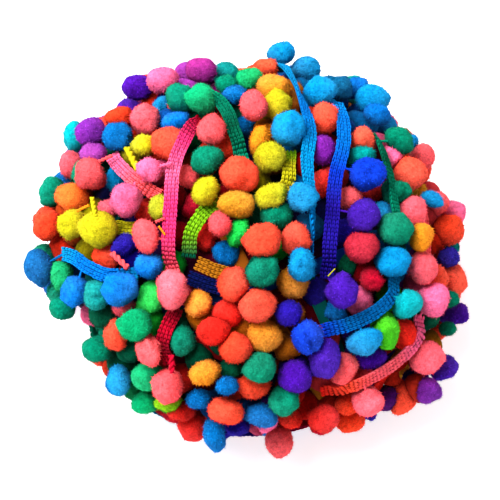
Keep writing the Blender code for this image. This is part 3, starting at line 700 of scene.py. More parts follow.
class Finish:
    """A material with a Principled shader, and the method that makes its nodes."""

    def __init__(self, name, roughness, sheen):
        self.material = bpy.data.materials.new(name)
        self.material.use_nodes = True
        self.tree = self.material.node_tree
        self.shader = self.tree.nodes["Principled BSDF"]
        self.shader.inputs["Roughness"].default_value = roughness
        self.shader.inputs["Sheen Weight"].default_value = sheen
        self.shader.inputs["Sheen Roughness"].default_value = SHEEN_ROUGHNESS
        self.shader.inputs["Specular IOR Level"].default_value = SPECULAR_LEVEL

    def node(self, kind, settings, inputs, output):
        """Makes a node: settings first, then the values or links of its named inputs."""
        node = self.tree.nodes.new(kind)
        for key, value in settings.items():
            setattr(node, key, value)
        for key, value in inputs.items():
            if isinstance(value, Socket):
                self.tree.links.new(value.link, node.inputs[key])
            else:
                node.inputs[key].default_value = value
        return Socket(self.tree, node.outputs[output])

    def noise(self, size):
        """Noise in object space whose features are about this size."""
        place = self.node("ShaderNodeTexCoord", {}, {}, "Object")
        return self.node("ShaderNodeTexNoise", {},
                         {"Vector": place, "Scale": 1.0 / size, "Detail": NOISE_DETAIL}, "Fac")

    def tint(self):
        """The colour that the mesh carries."""
        return self.node("ShaderNodeAttribute", {"attribute_name": "tint"}, {}, "Color")

    def shaded(self, colour, light):
        """Colour times a brightness."""
        return self.node("ShaderNodeVectorMath", {"operation": "MULTIPLY"},
                         {0: colour, 1: light}, "Vector")

    def finish(self, colour, height, depth):
        """Joins a colour and a relief of this depth to the shader."""
        bump = self.node("ShaderNodeBump", {}, {"Height": height, "Distance": depth}, "Normal")
        self.tree.links.new(colour.link, self.shader.inputs["Base Color"])
        self.tree.links.new(bump.link, self.shader.inputs["Normal"])
        return self.material

# %% [markdown]
# ## Felt, yarn and paper
#
# A pompom's pile is felted: matt, soft, with pits and flecks about a third of a millimetre across and a
# broader mottling where the dye took unevenly. The heading's yarn is smoother and has the ply of its
# strand. Both carry their dye as a colour on the mesh, because every pompom has its own, and the nodes
# add what varies within it. The wound inside is felt as well. The floor is a sheet of pale paper that
# glows a little, as the floor of a light tent does.

# %% Materials
MOTTLE_SIZE = 1.3 * MM
FLECK_SIZE = 0.42 * MM
FELT_LIGHT = 1.02
FELT_CONTRAST = 0.9
FELT_RELIEF = 0.6 * MM
STREAK_SIZE = 0.22 * MM
BROAD_STREAK_SIZE = 2.5 * MM
STREAK_CONTRAST = 0.35
BROAD_CONTRAST = 0.25
PLY_RELIEF = 0.12 * MM
PAPER_GRAIN = 4.0 * MM
PAPER_RELIEF = 0.02 * MM
PAPER_DIM = (0.92, 0.92, 0.92, 1.0)
PAPER_PALE = (0.95, 0.95, 0.95, 1.0)
FLOOR_GLOW = 0.50


def felt():
    """Dye times one plus mottling and flecks, with the flecks as relief."""
    make = Finish("felted_yarn", 0.95, 0.02)
    mottle = make.noise(MOTTLE_SIZE)
    fleck = make.noise(FLECK_SIZE)
    light = FELT_LIGHT + FELT_CONTRAST * (mottle - 0.5) + FELT_CONTRAST * (fleck - 0.5)
    return make.finish(make.shaded(make.tint(), light), 0.5 * mottle + 0.5 * fleck, FELT_RELIEF)


def ply():
    """Dye times one plus a fine streaking, with the streaks as relief."""
    make = Finish("heading_yarn", 0.85, 0.01)
    streak = make.noise(STREAK_SIZE)
    broad = make.noise(BROAD_STREAK_SIZE)
    light = 1.0 + STREAK_CONTRAST * (streak - 0.5) + BROAD_CONTRAST * (broad - 0.5)
    return make.finish(make.shaded(make.tint(), light), streak, PLY_RELIEF)


def paper():
    """A pale matt floor."""
    make = Finish("pale_paper", 0.8, 0.0)
    grain = make.noise(PAPER_GRAIN)
    colour = make.node("ShaderNodeMix", {"data_type": "RGBA"},
                       {"Factor": grain, 6: PAPER_DIM, 7: PAPER_PALE}, 2)
    make.shader.inputs["Emission Color"].default_value = (1.0, 1.0, 1.0, 1.0)
    make.shader.inputs["Emission Strength"].default_value = FLOOR_GLOW
    return make.finish(colour, grain, PAPER_RELIEF)


FELT = felt()
PLY = ply()
print("materials:", FELT.name, PLY.name)

# %% Floor
FLOOR_REACH = 3.0
sheet = bpy.data.meshes.new("floor")
sheet.from_pydata([(-FLOOR_REACH, -FLOOR_REACH, 0), (FLOOR_REACH, -FLOOR_REACH, 0),
                   (FLOOR_REACH, FLOOR_REACH, 0), (-FLOOR_REACH, FLOOR_REACH, 0)], [], [(0, 1, 2, 3)])
sheet.materials.append(paper())
floor = bpy.data.objects.new("floor", sheet)
bpy.context.scene.collection.objects.link(floor)
floor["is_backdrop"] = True
print("floor of", 2 * FLOOR_REACH, "m")

# %% [markdown]
# ## From arrays to a piece
#
# Every shape below is an array of points and an array of faces. A part holds them with a tint for each
# point and a place on the piece's map for each corner of a face. The maps are laid out in cells, one for
# each pompom, stitch or fibre, so that nothing on them overlaps.

# %% Mesh helpers
CELL_MARGIN = 0.04
Part = namedtuple("Part", "points faces tints places")


def cells(count, box, around):
    """Corner places, given from 0 to 1 in a cell, for count cells in a grid that fills the box.

    Columns are the root of count times the box's width over its height, rounded up.
    """
    x0, y0, x1, y1 = box
    columns = max(1, math.ceil(math.sqrt(count * (x1 - x0) / (y1 - y0))))
    rows = max(1, math.ceil(count / columns))
    size = np.array([(x1 - x0) / columns, (y1 - y0) / rows])
    index = np.arange(count)
    corner = np.array([x0, y0]) + np.stack([index % columns, index // columns], axis=1) * size
    return corner[:, None] + (CELL_MARGIN + (1.0 - 2 * CELL_MARGIN) * around[None]) * size


def copies(faces, count, step):
    """The faces of one copy, repeated for count copies whose points lie step apart."""
    shifted = faces[None] + (np.arange(count) * step)[:, None, None]
    return shifted.reshape(-1, faces.shape[1])


def copied_part(points, tints, faces, maps, count, box):
    """A part of count like copies: the faces of one are repeated, and its maps fill cells of the box."""
    step = points.size // (3 * count)
    places = [cells(count, box, table.reshape(-1, 2)).reshape(-1, 2) for table in maps]
    return Part(points.reshape(-1, 3), [copies(table, count, step) for table in faces],
                tints.reshape(-1, 3), np.vstack(places))


def cosines(ways, others):
    """Cosine between each of a ball's unit ways and one unit way of that ball, for all balls."""
    return np.einsum("pvk,pk->pv", ways, others)


def make_piece(name, parts, material, node):
    """Joins parts into one mesh object that rides on the body and stands for a CAD node."""
    points = np.vstack([part.points for part in parts])
    tints = np.vstack([part.tints for part in parts])
    places = np.vstack([part.places for part in parts])
    shift = np.cumsum([0] + [len(part.points) for part in parts])
    faces = [f + offset for part, offset in zip(parts, shift) for f in part.faces]
    sizes = np.concatenate([np.full(len(f), f.shape[1]) for f in faces])
    mesh = bpy.data.meshes.new(name)
    mesh.vertices.add(len(points))
    mesh.vertices.foreach_set("co", points.astype(np.float32).ravel())
    mesh.loops.add(int(sizes.sum()))
    mesh.loops.foreach_set("vertex_index", np.concatenate([f.ravel() for f in faces]).astype(np.int32))
    mesh.polygons.add(len(sizes))
    mesh.polygons.foreach_set("loop_start", (np.cumsum(sizes) - sizes).astype(np.int32))
    mesh.update(calc_edges=True)
    mesh.polygons.foreach_set("use_smooth", np.ones(len(sizes), dtype=bool))
    tint = mesh.attributes.new("tint", "FLOAT_COLOR", "POINT")
    opaque = np.hstack([tints, np.ones((len(tints), 1))])
    tint.data.foreach_set("color", opaque.astype(np.float32).ravel())
    mesh.uv_layers.new(name="OFBake").uv.foreach_set("vector", places.astype(np.float32).ravel())
    mesh.materials.append(material)
    thing = bpy.data.objects.new(name, mesh)
    bpy.context.scene.collection.objects.link(thing)
    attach(thing, "root")
    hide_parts(node)
    totals["pieces"] += 1
    triangles = int((sizes - 2).sum())
    totals["triangles"] += triangles
    totals["largest"] = max(totals["largest"], triangles)


totals = {"pieces": 0, "triangles": 0, "largest": 0}
print("a map of 9 cells starts with", cells(9, (0.0, 0.0, 1.0, 1.0), np.eye(2))[0].round(3).tolist())

# %% [markdown]
# ## Pompoms noted from the front
#
# The table notes how single pompoms look from the front: where each is seen, its dye, how wide and tall
# it is, how far it stands out, how deep its dimple and crease are, and how far it leans. What a row
# leaves out at its end is as the defaults say. Typing in every pompom would be needless; those not in
# the table get all this from the seeded generator.

# %% Noted pompoms
Noted = namedtuple("Noted", "ball right up dye wide tall lift dent crease lean",
                   defaults=(8.3, 8.3, 0, 0.05, 0.0, 0))
NOTED = [Noted(*row) for row in (
    (6, -14.7, 20, "lemon", 8.3, 11.7, 1, 0.08, 0.05, -25),
    (163, -4.7, 15.3, "yellow", 12.7, 9, 1, 0.05, 0, -4), (159, -10, 8.7, "rose", 7.3, 8.3, -1, 0),
    (161, -14.7, 4.3, "red", 7.7, 10, -2, 0), (162, -8, -1, "blue", 9, 9, -2, 0.1, 0.1),
    (160, -4, 6.3, "spring", 6.3, 10.3, 0, 0.08, 0, -25), (157, 4, 3.3, "coral", 12.7, 12, 1, 0.14, 0.12),
    (158, 15.3, 4, "orangered", 10, 12.3, 0, 0.16, 0.16, 6),
    (164, 8.7, 11.7, "emerald", 11.3, 10, 5, 0.1), (30, 7.3, 18, "lemon", 12.7, 8.3, 0, 0.12, 0, 20),
    (13, 18.3, 17, "sky", 11, 10.3, 5, 0.08), (14, 17.3, -5, "sky", 10.3, 11.3, 2, 0.24, 0.08, 20),
    (155, 4, -7.3, "emerald", 11, 10.3, 2, 0.12, 0.06),
    (154, -5.7, -11.3, "orangered", 11, 12.3, 1, 0, 0, 6), (156, 14, -11, "gold", 11, 10.3, 0, 0.1, 0.12),
    (152, 2.3, -18.3, "coral", 12, 11.3, 1, 0.06, 0.14, 20), (151, -7.3, -21, "red", 9.7, 8.7, 1, 0),
    (153, 13.3, -21.3, "indigo", 9.7, 9, 1, 0.08), (209, 21, -14, "indigo", 10, 10, -4, 0),
    (200, -17.3, -18, "gold", 10, 9.7, -3, 0), (212, -19.3, 14.7, "crimson", 8, 9.3, -3, 0),
    (147, -12.3, -27.3, "red", 11, 10.3, 1, 0.08), (148, -4.7, -32.7, "orangered", 12, 11.3, 1, 0.06),
    (149, 4.7, -29, "gold", 12, 11, 1, 0.08, 0.06, -8),
    (150, 19.3, -28.7, "cobalt", 10, 10.7, 1, 0.1, 0.26), (4, -23.3, 51, "emerald", 10.3, 10.3, 1, 0.12),
    (5, -15.7, 50.3, "green", 11.3, 10.3, 2), (77, -16.3, 59.7, "magenta", 11.3, 8, 1, 0.08, 0, -8),
    (78, -7.7, 59, "teal", 7.7, 6.7, 0, 0), (84, -7.7, 55, "emerald", 7.3, 6, 0, 0),
    (85, -0.3, 57, "green", 9.7, 7, 1, 0.1, 0, 15), (87, -5, 51.7, "blue", 8.3, 6, 0, 0),
    (88, 1.3, 48, "rose", 9, 10, 1, 0.06), (86, 5.3, 61, "coral", 9, 6, 0, 0),
    (89, 7.7, 54, "gold", 11.3, 10.3, 1, 0.06), (90, 9, 47.7, "lemon", 10.7, 10.3, 2),
    (12, 13, 40, "sky", 11.7, 11.7, 3, 0.14, 0, 40), (175, 3.3, 36.3, "gold", 6.7, 10.7, 0, 0, 0, -15),
    (29, 6.7, 31, "lemon", 11, 11, 1, 0.05, 0, 10), (174, -1.7, 41, "blue", 8, 8.3, -3, 0),
    (172, -13, 40, "rose", 9.7, 11.3, 2, 0.06, 0.05, -8), (173, -8, 34.3, "orangered", 7.3, 7.3, 0, 0),
    (166, -14.3, 30, "emerald", 10.3, 9.7, 1), (211, -21, 24.3, "rose", 8, 8.7, -2, 0),
    (165, -3.7, 25.3, "coral", 13.3, 12, 2, 0.08, 0.05), (96, 24.7, 43.7, "coral", 9.3, 10.7, 1, 0, 0.08),
    (97, 24.3, 33.3, "violet", 7.7, 10.3, 0, 0.06, 0, 10), (98, 24, 22.7, "red", 8, 10, -4, 0),
    (92, 23.3, 52.7, "sky", 10, 9.7, 1, 0.14, 0.06), (75, -37.3, 54, "purple", 9.7, 8.7, 0, 0),
    (76, -28.7, 56.7, "pink", 11.3, 9, 1, 0), (79, -43.7, 44.3, "orangered", 9.3, 6.7, 0, 0.06, 0, 10),
    (80, -35, 43.7, "salmon", 9.3, 10.3, 1, 0.06), (83, -30, 47.3, "sky", 5, 8.7, 0, 0, 0, -22),
    (81, -24.7, 43, "azure", 10, 6.7, 0, 0.08, 0, 10), (169, -44, 37.7, "blue", 10.3, 10, 1, 0.14),
    (170, -53, 39, "violet", 10.3, 9.7, 1, 0.14, 0.06), (171, -58.7, 37.7, "aqua", 6.7, 10.3, 0, 0),
    (168, -35.3, 34.7, "lemon", 9.7, 7, 1, 0.05, 0, 12), (167, -26.7, 35.7, "coral", 12.7, 11.3, 1, 0.06),
    (177, -52, 32.3, "orchid", 9.3, 6.7, 0, 0), (176, -59.7, 28.3, "salmon", 8, 9.3, 0, 0),
    (178, -53.3, 25.3, "rose", 11.3, 11, 2, 0.18, 0.12), (180, -66.3, 19, "emerald", 8.3, 10, 0, 0.1),
    (179, -59, 17.3, "orange", 11, 10, 1, 0.06), (182, -45, 23.3, "sky", 5.7, 8.3, 0, 0),
    (27, -33.7, 26.3, "pink", 9.3, 9.7, 1, 0.08, 0.05), (28, -41.3, 16.7, "pink", 10.7, 12, 1, 0.06),
    (181, -67.3, 8.3, "orangered", 9.3, 11.3, 1), (184, -59.3, 8.7, "lemon", 10, 9.7, 1, 0.08, 0.06),
    (185, -50.7, 7, "lemon", 13.3, 12.3, 2, 0.06, 0, 15), (183, -47.3, 14, "salmon", 7, 5.3, -1, 0),
    (187, -34.3, 13, "red", 8, 8.3, -1, 0), (186, -29.7, 14.3, "lemon", 8.3, 9, 0, 0),
    (0, -33.7, 4.3, "rose", 9.3, 13, 2, 0.06, 0.04, 22), (188, -42.3, 2, "indigo", 8.7, 7.3, -2, 0),
    (189, -47.7, -2, "orangered", 9.7), (10, -33.7, -5, "azure", 9.7, 8, 1, 0.1, 0.06),
    (9, -43, -13, "azure", 12.3, 11.3, 2, 0.16, 0.08), (191, -51.3, -14.7, "teal", 9.3, 11.3, 1, 0.06),
    (8, -58.3, -13.7, "azure", 9, 10, 1, 0.05, 0, -10), (190, -62.7, -8.7, "green", 7.3, 11.3, 0, 0.12),
    (7, -70.3, -6, "blue", 10, 12, 1, 0.16, 0.1), (192, -62.7, -19.3, "emerald", 9, 8.3, 0, 0),
    (193, -48.3, -21.3, "darkgreen", 9.7, 8.7, 0, 0), (196, -42, -19.3, "salmon", 8.7, 6, -1, 0),
    (195, -32.7, -15.7, "spring", 9, 11.7, 0, 0.08, 0, -15),
    (194, -38.7, -25, "green", 11.3, 10.7, 1, 0.08, 0.08), (1, -26.3, -13, "salmon", 10.7, 14, 2, 0),
    (198, -44.7, -28.7, "coral", 7.7, 10.3, 0, 0.06, 0, 10),
    (2, -32.7, -32, "rose", 11, 11, 1, 0.1, 0.05),
    (199, -23, -30, "emerald", 10.7, 11.3, 1, 0.16, 0.08, 10),
    (197, -51, -33.3, "emerald", 10.3, 8.7, 0, 0.08), (94, 41, 50, "sky", 11.3, 10.3, 1, 0.14, 0.08, -25),
    (95, 42.7, 45, "azure", 10, 7.3, 0, 0.14, 0, -10), (93, 35.3, 54, "azure", 9, 6.7, 0, 0, 0, 10),
    (99, 37.3, 36.7, "coral", 8.7, 9.7, 1, 0.06), (100, 37.3, 31.3, "teal", 9, 7.3, 0, 0),
    (15, 39.3, 25.3, "cobalt", 12.3, 11.3, 2, 0.1, 0.16, 10),
    (101, 47.3, 31.3, "pink", 6.3, 9, -1, 0, 0, 30),
    (18, 50, 36.3, "emerald", 11.3, 8.3, 1, 0.1, 0.14, -32), (216, 54, 36.3, "sky", 5, 4.3, -1, 0),
    (220, 57.3, 30.7, "rose", 9, 10, -1, 0), (102, 53.3, 25.3, "coral", 11, 11, 1, 0.06),
    (19, 49, 20, "emerald", 10.3, 10, 1, 0.08), (215, 56.7, 18, "yellow", 6, 8.3, 0, 0),
    (109, 60.7, 17, "sky", 7.7, 5, 0, 0, 0, -22), (105, 33.3, 17, "rose", 8.3, 8.3, 0, 0.06),
    (107, 41.3, 20, "red", 8.7, 8, -3, 0), (16, 37.7, 11.7, "ultramarine", 10.7, 11, 2, 0.12),
    (108, 44.3, 12, "sky", 6.7, 8.7, 0, 0), (110, 54, 13, "salmon", 9.7, 11, 1, 0),
    (113, 67.3, 12.3, "pink", 9.3, 9, 0, 0.1), (208, 31.7, 6, "indigo", 9.3, 9.3, -4, 0),
    (20, 48.3, 6.7, "emerald", 11.7, 11, 2, 0.06), (106, 37.3, 1, "crimson", 11, 11, 0, 0.08),
    (21, 47.7, -3.7, "sky", 12.3, 11, 2, 0.1, 0.14, 10), (207, 32.7, -5, "darkgreen", 8.7, 7.3, -3, 0),
    (206, 41, -9.3, "crimson", 8.7, 8.7, -3, 0),
    (17, 30.7, -14, "ultramarine", 9.7, 11.7, 2, 0.12, 0, 10), (205, 36, -17, "pink", 10, 9.7, 0, 0),
    (210, 28.7, -20.7, "blue", 8.7, 8, -3, 0), (111, 57, 4.3, "gold", 7.7, 9.7, 0, 0),
    (112, 57.3, -6, "salmon", 9.3, 11.7, 1, 0), (114, 65.7, 6.7, "orangered", 11, 10.7, 1),
    (244, 67, 1, "teal", 5, 4.3, 0, 0), (115, 66.3, -2.3, "indigo", 7.3, 6.7, 0, 0),
    (116, 67, -10.3, "coral", 10.3, 11.7, 1, 0.06), (24, 60.7, -17, "pink", 10, 11.3, 1, 0),
    (22, 51.3, -17.7, "aqua", 12, 10.3, 2, 0.08, 0, 6), (117, 67.7, -21.3, "purple", 11, 7.7, 0, 0),
    (44, 62.7, -26.3, "orangered", 6.3, 7, 0, 0), (118, 66, -26.3, "emerald", 6, 4.7, 0, 0),
    (203, 45.3, -26.7, "leaf", 9, 12.7, 1, 0.12), (204, 51, -28, "red", 8.7, 11.3, 0, 0),
    (23, 38.3, -29.7, "sky", 12, 10.3, 1, 0.1, 0, 6), (202, 40.3, -36, "purple", 10.3, 8.7, -1, 0),
    (25, 59, -35.7, "salmon", 11.3, 11, 2, 0), (119, 64.3, -39, "ultramarine", 10, 9.3, 0, 0.08),
    (42, 52, -40, "yellow", 7.7, 6.7, 0, 0), (125, 55, -43, "indigo", 9, 7.3, 0, 0),
    (120, 59.3, -47, "violet", 9.3, 9, 0, 0.12), (121, 50.3, -48.7, "coral", 11, 11.3, 1, 0.06),
    (26, 39.3, -49.3, "salmon", 11.7, 12, 2), (122, 32.3, -51.3, "orangered", 8, 7.3, -1, 0),
    (257, 33.3, -56.3, "orangered", 10.3, 9, 0, 0), (123, 24.3, -56, "red", 11.3, 9.3, 1),
    (201, 30.7, -40, "rose", 9, 11.3, 0, 0.06, 0, -12),
    (146, 24.7, -36, "ultramarine", 10.7, 13, 1, 0.16), (144, 15.3, -42, "purple", 11, 11, -1, 0.1),
    (145, 11.3, -49.7, "emerald", 10, 9.7, 0, 0.16, 0.08), (126, 13.7, -56, "red", 8, 7.3, -2, 0),
    (130, 10, -63.7, "rose", 9.7, 10.7, 0, 0), (127, 4, -55, "blue", 12, 8.3, 1, 0.06, 0, -18),
    (141, 1.3, -45.7, "orangered", 11, 8.3, 0, 0, 0, -6), (143, 3.3, -39, "emerald", 11.3, 10.3, 1, 0.14),
    (142, -6.3, -39.3, "darkgreen", 7.3, 7.3, -1, 0), (140, -8, -45.3, "blue", 8.3, 6.3, -1, 0),
    (139, -15, -40.7, "gold", 11, 9, 1, 0.06, 0, 14), (129, -17, -49.7, "blue", 9.7, 6.7, -1, 0),
    (128, -8.3, -53.7, "orangered", 12.3, 8.3, 1, 0, 0, -24), (132, -12, -60.7, "blue", 7.3, 10.7, 0, 0),
    (131, -4.3, -58, "indigo", 8.7, 7.7, -1, 0), (133, -19, -58.3, "red", 9, 10.7, 0, 0.08),
    (134, -23, -53.7, "red", 10.3, 7, 0, 0), (135, -27.3, -50.7, "lime", 9.7, 6, -1, 0),
    (136, -34.7, -51, "green", 9, 7.3, 0, 0), (138, -34, -42, "green", 11.7, 9.7, 1, 0.14, 0.14, -10),
    (137, -43.7, -43.3, "sky", 7.7, 11, 0, 0), (3, -27.3, -45.7, "rose", 10.3, 11.3, 2, 0.08),
    (219, -48, 41.3, "coral", 7, 6.3, -3, 0), (225, -46.3, -28, "emerald", 8.3, 8.3, -3, 0),
    (237, -49, -24, "darkgreen", 7.7, 7.7, -3, 0), (251, -49.7, -34.7, "coral", 7.7, 7.7, -3, 0),
    (239, -44.3, -44.3, "blue", 7.7, 8.3, -3, 0), (31, -35.3, -48.7, "green", 8, 8, -4, 0),
    (256, -25.3, -54.3, "crimson", 7.7, 7, -3, 0), (33, -21, -56.7, "red", 7.7, 7.7, -4, 0),
    (255, -64.7, -12.7, "blue", 8, 8.7, -3, 0), (232, -64, -14, "emerald", 8, 8, -3, 0),
    (35, -8.3, -59, "indigo", 7, 7.7, -3, 0), (253, 24, -58, "crimson", 8.7, 7.3, -3, 0),
    (39, 24, -56.7, "red", 7.3, 7.3, -4, 0), (228, 66, -16.3, "emerald", 6.7, 5.3, -2, 0),
    (217, -61, 18, "orange", 8, 8, -3, 0), (36, -0.3, -55.7, "red"), (37, 6.3, -57.3, "blue"),
    (41, 38.3, -52.3, "indigo"), (50, 60.3, 16, "coral"), (68, -60, 4.3, "purple"),
    (71, -51.3, -18.3, "orchid"), (72, -52.3, -21, "pink"), (73, -44.3, -29, "pink"),
    (74, -48.3, -35.3, "coral"), (82, -40.3, 46.7, "purple"), (91, 18.9, 60.2, "sky", 9.8),
    (11, 10.4, 65.3, "sky", 9.3, 7.6, 1, 0.1, 0.05), (233, 14, 58, "azure", 8, 7, -3, 0),
    (247, 19.7, 56, "green", 8.3, 6.7, -2, 0), (103, 45, 41, "sky"), (104, 57.3, 30.7, "rose"),
    (213, 30.3, 54, "petrol"), (218, -3, 56, "orangered"), (221, 61.7, 15.3, "rose"),
    (222, -14.3, 59, "orchid"), (224, 1.7, 57.7, "coral"), (226, -8.3, 58.7, "teal"),
    (227, 27.7, 54, "petrol"), (229, -47.7, 41, "indigo"), (230, 5, -56.3, "pink"),
    (231, 41.7, 50, "azure", 8.7, 8.7), (235, -68, 10, "orangered", 8.7, 8.7), (236, -20, 58.7, "orchid"),
    (238, 51.3, 36, "red"), (240, -41.7, 44.7, "sky"), (241, 45.3, 41, "salmon"),
    (243, -57.7, 30.7, "indigo"), (245, 55.7, 18.7, "rose"), (246, -62, 22, "blue"),
    (248, -2.7, 56.3, "emerald"), (250, 56.3, 27, "coral"), (252, -13, 58, "purple"),
    (259, -66.3, 11, "orangered", 8.7, 8.7),
)]
LEAST_HEIGHT = 4.5 * MM
FIRMNESS = 0.5


def noted_shapes(middles, radii, names):
    """Moves, sizes and dyes the noted balls, and gives their half axes and their frames.

    A ball keeps its distance from the eye, less its lift, and moves across to where it is seen:
    place = eye + distance * (right * across + up * upwards - back).
    """
    shapes = {}
    for noted in NOTED:
        away = (EYE - middles[noted.ball]) @ VIEW_BACK - noted.lift * MM
        scale = away / VIEW_DISTANCE * MM
        aim = noted.right * VIEW_RIGHT + noted.up * VIEW_UP
        place = EYE - away * VIEW_BACK + scale * aim
        lean = math.radians(noted.lean)
        wide = math.cos(lean) * VIEW_RIGHT + math.sin(lean) * VIEW_UP
        tall = math.cos(lean) * VIEW_UP - math.sin(lean) * VIEW_RIGHT
        half = 0.5 * scale * np.array([noted.wide, noted.tall, 0.5 * (noted.wide + noted.tall)])
        place[2] = max(place[2], min(LEAST_HEIGHT, half[2]))
        middles[noted.ball] = place
        radii[noted.ball] = half[2]
        names[noted.ball] = noted.dye
        shapes[noted.ball] = (np.stack([wide, tall, VIEW_BACK], axis=1), half / half[2])
    return shapes


print(len(NOTED), "pompoms noted")

# %% [markdown]
# ## The shape of a pompom
#
# A pompom is a tied tuft of yarn that was felted to a ball. It is never quite round: it has lumps, a
# dimple or crease where the tie draws it in, and flats where it presses on its neighbours. Sculpting
# each would take days, and a plain sphere with bump would stay round in outline. So one formula gives
# the distance from the middle to the surface in any direction, for all pompoms at once. Lumps are
# smooth bells round random directions. Each neighbour adds a plane halfway between the two, and a soft
# minimum of the ball and the planes rounds the flats into it.

# %% Numbers of the formula
BROAD_LUMPS = 7
BROAD_SIZE = 0.15
BROAD_SHARPNESS = 4.5
FINE_LUMPS = 36
FINE_SIZE = 0.15
FINE_SHARPNESS = 22.0
STRETCH = 0.15
NEIGHBOURS = 12
BAND_NEIGHBOURS = 10
SOFTNESS = 13.0
SWELL = (0.94, 1.08)
LEAST_REACH = 0.55
DENT_WIDTH = 0.42
CREASE_WIDTH = 0.13
BAND_PRESS = 0.8
DENT_SCATTER = 1.1
POLE_SCATTER = 0.6
NOTED_SCATTER = 0.35
DENT_CHOICES = [0.0, 0.0, 0.10, 0.20, 0.32]
CREASE_CHOICES = [0.0, 0.0, 0.0, 0.10, 0.16]

Balls = namedtuple("Balls", "middles radii spins frames axes broad_ways broad_sizes fine_ways fine_sizes "
                            "flat_ways flats dents dent_depths creases crease_depths")


def flats_of(middles, radii, firm):
    """For each ball, the directions and distances of the planes that flatten it.

    The plane between two balls divides their distance as their firm radii are to each other.
    """
    count = len(middles)
    delta = middles[None] - middles[:, None]
    distance = np.linalg.norm(delta, axis=2) + np.eye(count)
    order = np.argsort(distance - radii[None], axis=1)[:, :NEIGHBOURS]
    rows = np.arange(count)[:, None]
    ways = delta[rows, order] / distance[rows, order][..., None]
    share = firm[:, None] / (firm[:, None] + firm[order])
    planes = distance[rows, order] * share
    planes = np.where(order == rows, 1.0, planes)
    delta = samples[None] - middles[:, None]
    distance = np.linalg.norm(delta, axis=2)
    order = np.argsort(distance, axis=1)[:, :BAND_NEIGHBOURS]
    ways = np.concatenate([ways, delta[rows, order] / distance[rows, order][..., None]], axis=1)
    planes = np.concatenate([planes, distance[rows, order] - BAND_PRESS * BAND_SAMPLE_RADIUS], axis=1)
    down = np.broadcast_to([0.0, 0.0, -1.0], (count, 1, 3))
    return (np.concatenate([ways, down], axis=1),
            np.concatenate([planes, middles[:, 2:3]], axis=1))


def make_balls(middles, radii, shapes, seed):
    """All that the formula needs to know of each ball, with its own lumps, dent and spin."""
    random = np.random.default_rng(seed)
    count = len(middles)
    broad_ways = unit(random.normal(size=(count, BROAD_LUMPS, 3)))
    broad_sizes = random.uniform(-1.0, 1.0, (count, BROAD_LUMPS)) * BROAD_SIZE
    fine_ways = unit(random.normal(size=(count, FINE_LUMPS, 3)))
    fine_sizes = random.uniform(-1.0, 1.0, (count, FINE_LUMPS)) * FINE_SIZE
    frames = np.linalg.qr(random.normal(size=(count, 3, 3)))[0]
    axes = 1.0 + random.uniform(-STRETCH, STRETCH, (count, 3))
    swell = random.uniform(*SWELL, count)
    up = outward(middles)
    dents = unit(up + DENT_SCATTER * random.normal(size=(count, 3)))
    dent_depths = random.choice(DENT_CHOICES, count)
    poles = unit(-up + POLE_SCATTER * random.normal(size=(count, 3)))
    side = unit(np.cross(poles, random.normal(size=(count, 3))))
    spins = np.stack([side, np.cross(poles, side), poles], axis=2)
    creases = unit(np.cross(dents, random.normal(size=(count, 3))))
    crease_depths = random.choice(CREASE_CHOICES, count)
    firm = radii.copy()
    for noted in NOTED:
        k = noted.ball
        frames[k], axes[k] = shapes[k]
        swell[k] = 1.0
        firm[k] += FIRMNESS * noted.lift * MM
        dents[k] = unit(VIEW_BACK + NOTED_SCATTER * random.normal(size=3))
        dent_depths[k] = noted.dent
        creases[k] = unit(frames[k][:, 0] + NOTED_SCATTER * random.normal(size=3))
        crease_depths[k] = noted.crease
    flat_ways, flats = flats_of(middles, radii, firm)
    return Balls(middles, radii * swell, spins, frames, axes, broad_ways, broad_sizes,
                 fine_ways, fine_sizes, flat_ways, flats, dents, dent_depths, creases, crease_depths)


def bells(ways, middles, sizes, sharpness):
    """Sum of size * exp(sharpness (way . middle - 1)): smooth bells round each ball's directions."""
    towards = np.einsum("pvk,plk->pvl", ways, middles)
    return np.einsum("pvl,pl->pv", np.exp(sharpness * (towards - 1.0)), sizes)


def reach(balls, ways):
    """Distance from each ball's middle to its surface along the given ways, and how deep in a dent it is.

    An ellipsoid's reach is one over the length of the way measured in its half axes. Bells add lumps.
    A dent is depth * exp(-(angle / width)^2) and a crease the same in the cosine to its plane's normal.
    reach = (own^-s + sum of (cosine / plane)^s)^(-1/s) over the planes that the way runs towards.
    """
    lumps = bells(ways, balls.broad_ways, balls.broad_sizes, BROAD_SHARPNESS)
    lumps = lumps + bells(ways, balls.fine_ways, balls.fine_sizes, FINE_SHARPNESS)
    framed = np.einsum("pvk,pkj->pvj", ways, balls.frames)
    oval = 1.0 / np.linalg.norm(framed / balls.axes[:, None], axis=2)
    off_dent = np.clip(cosines(ways, balls.dents), -1.0, 1.0)
    dent = np.exp(-(np.arccos(off_dent) / DENT_WIDTH) ** 2) * balls.dent_depths[:, None]
    off_crease = cosines(ways, balls.creases)
    crease = np.exp(-(off_crease / CREASE_WIDTH) ** 2) * np.clip(off_dent, 0.0, 1.0)
    dent = dent + crease * balls.crease_depths[:, None]
    own = balls.radii[:, None] * oval * (1.0 + lumps - dent)
    cosine = np.clip(np.einsum("pvk,pfk->pvf", ways, balls.flat_ways), 0.0, None)
    pressed = np.sum((cosine / balls.flats[:, None]) ** SOFTNESS, axis=2)
    result = (own ** -SOFTNESS + pressed) ** (-1.0 / SOFTNESS)
    return np.maximum(result, LEAST_REACH * balls.radii[:, None]), dent


print(BROAD_LUMPS, "broad and", FINE_LUMPS, "fine lumps on each pompom")

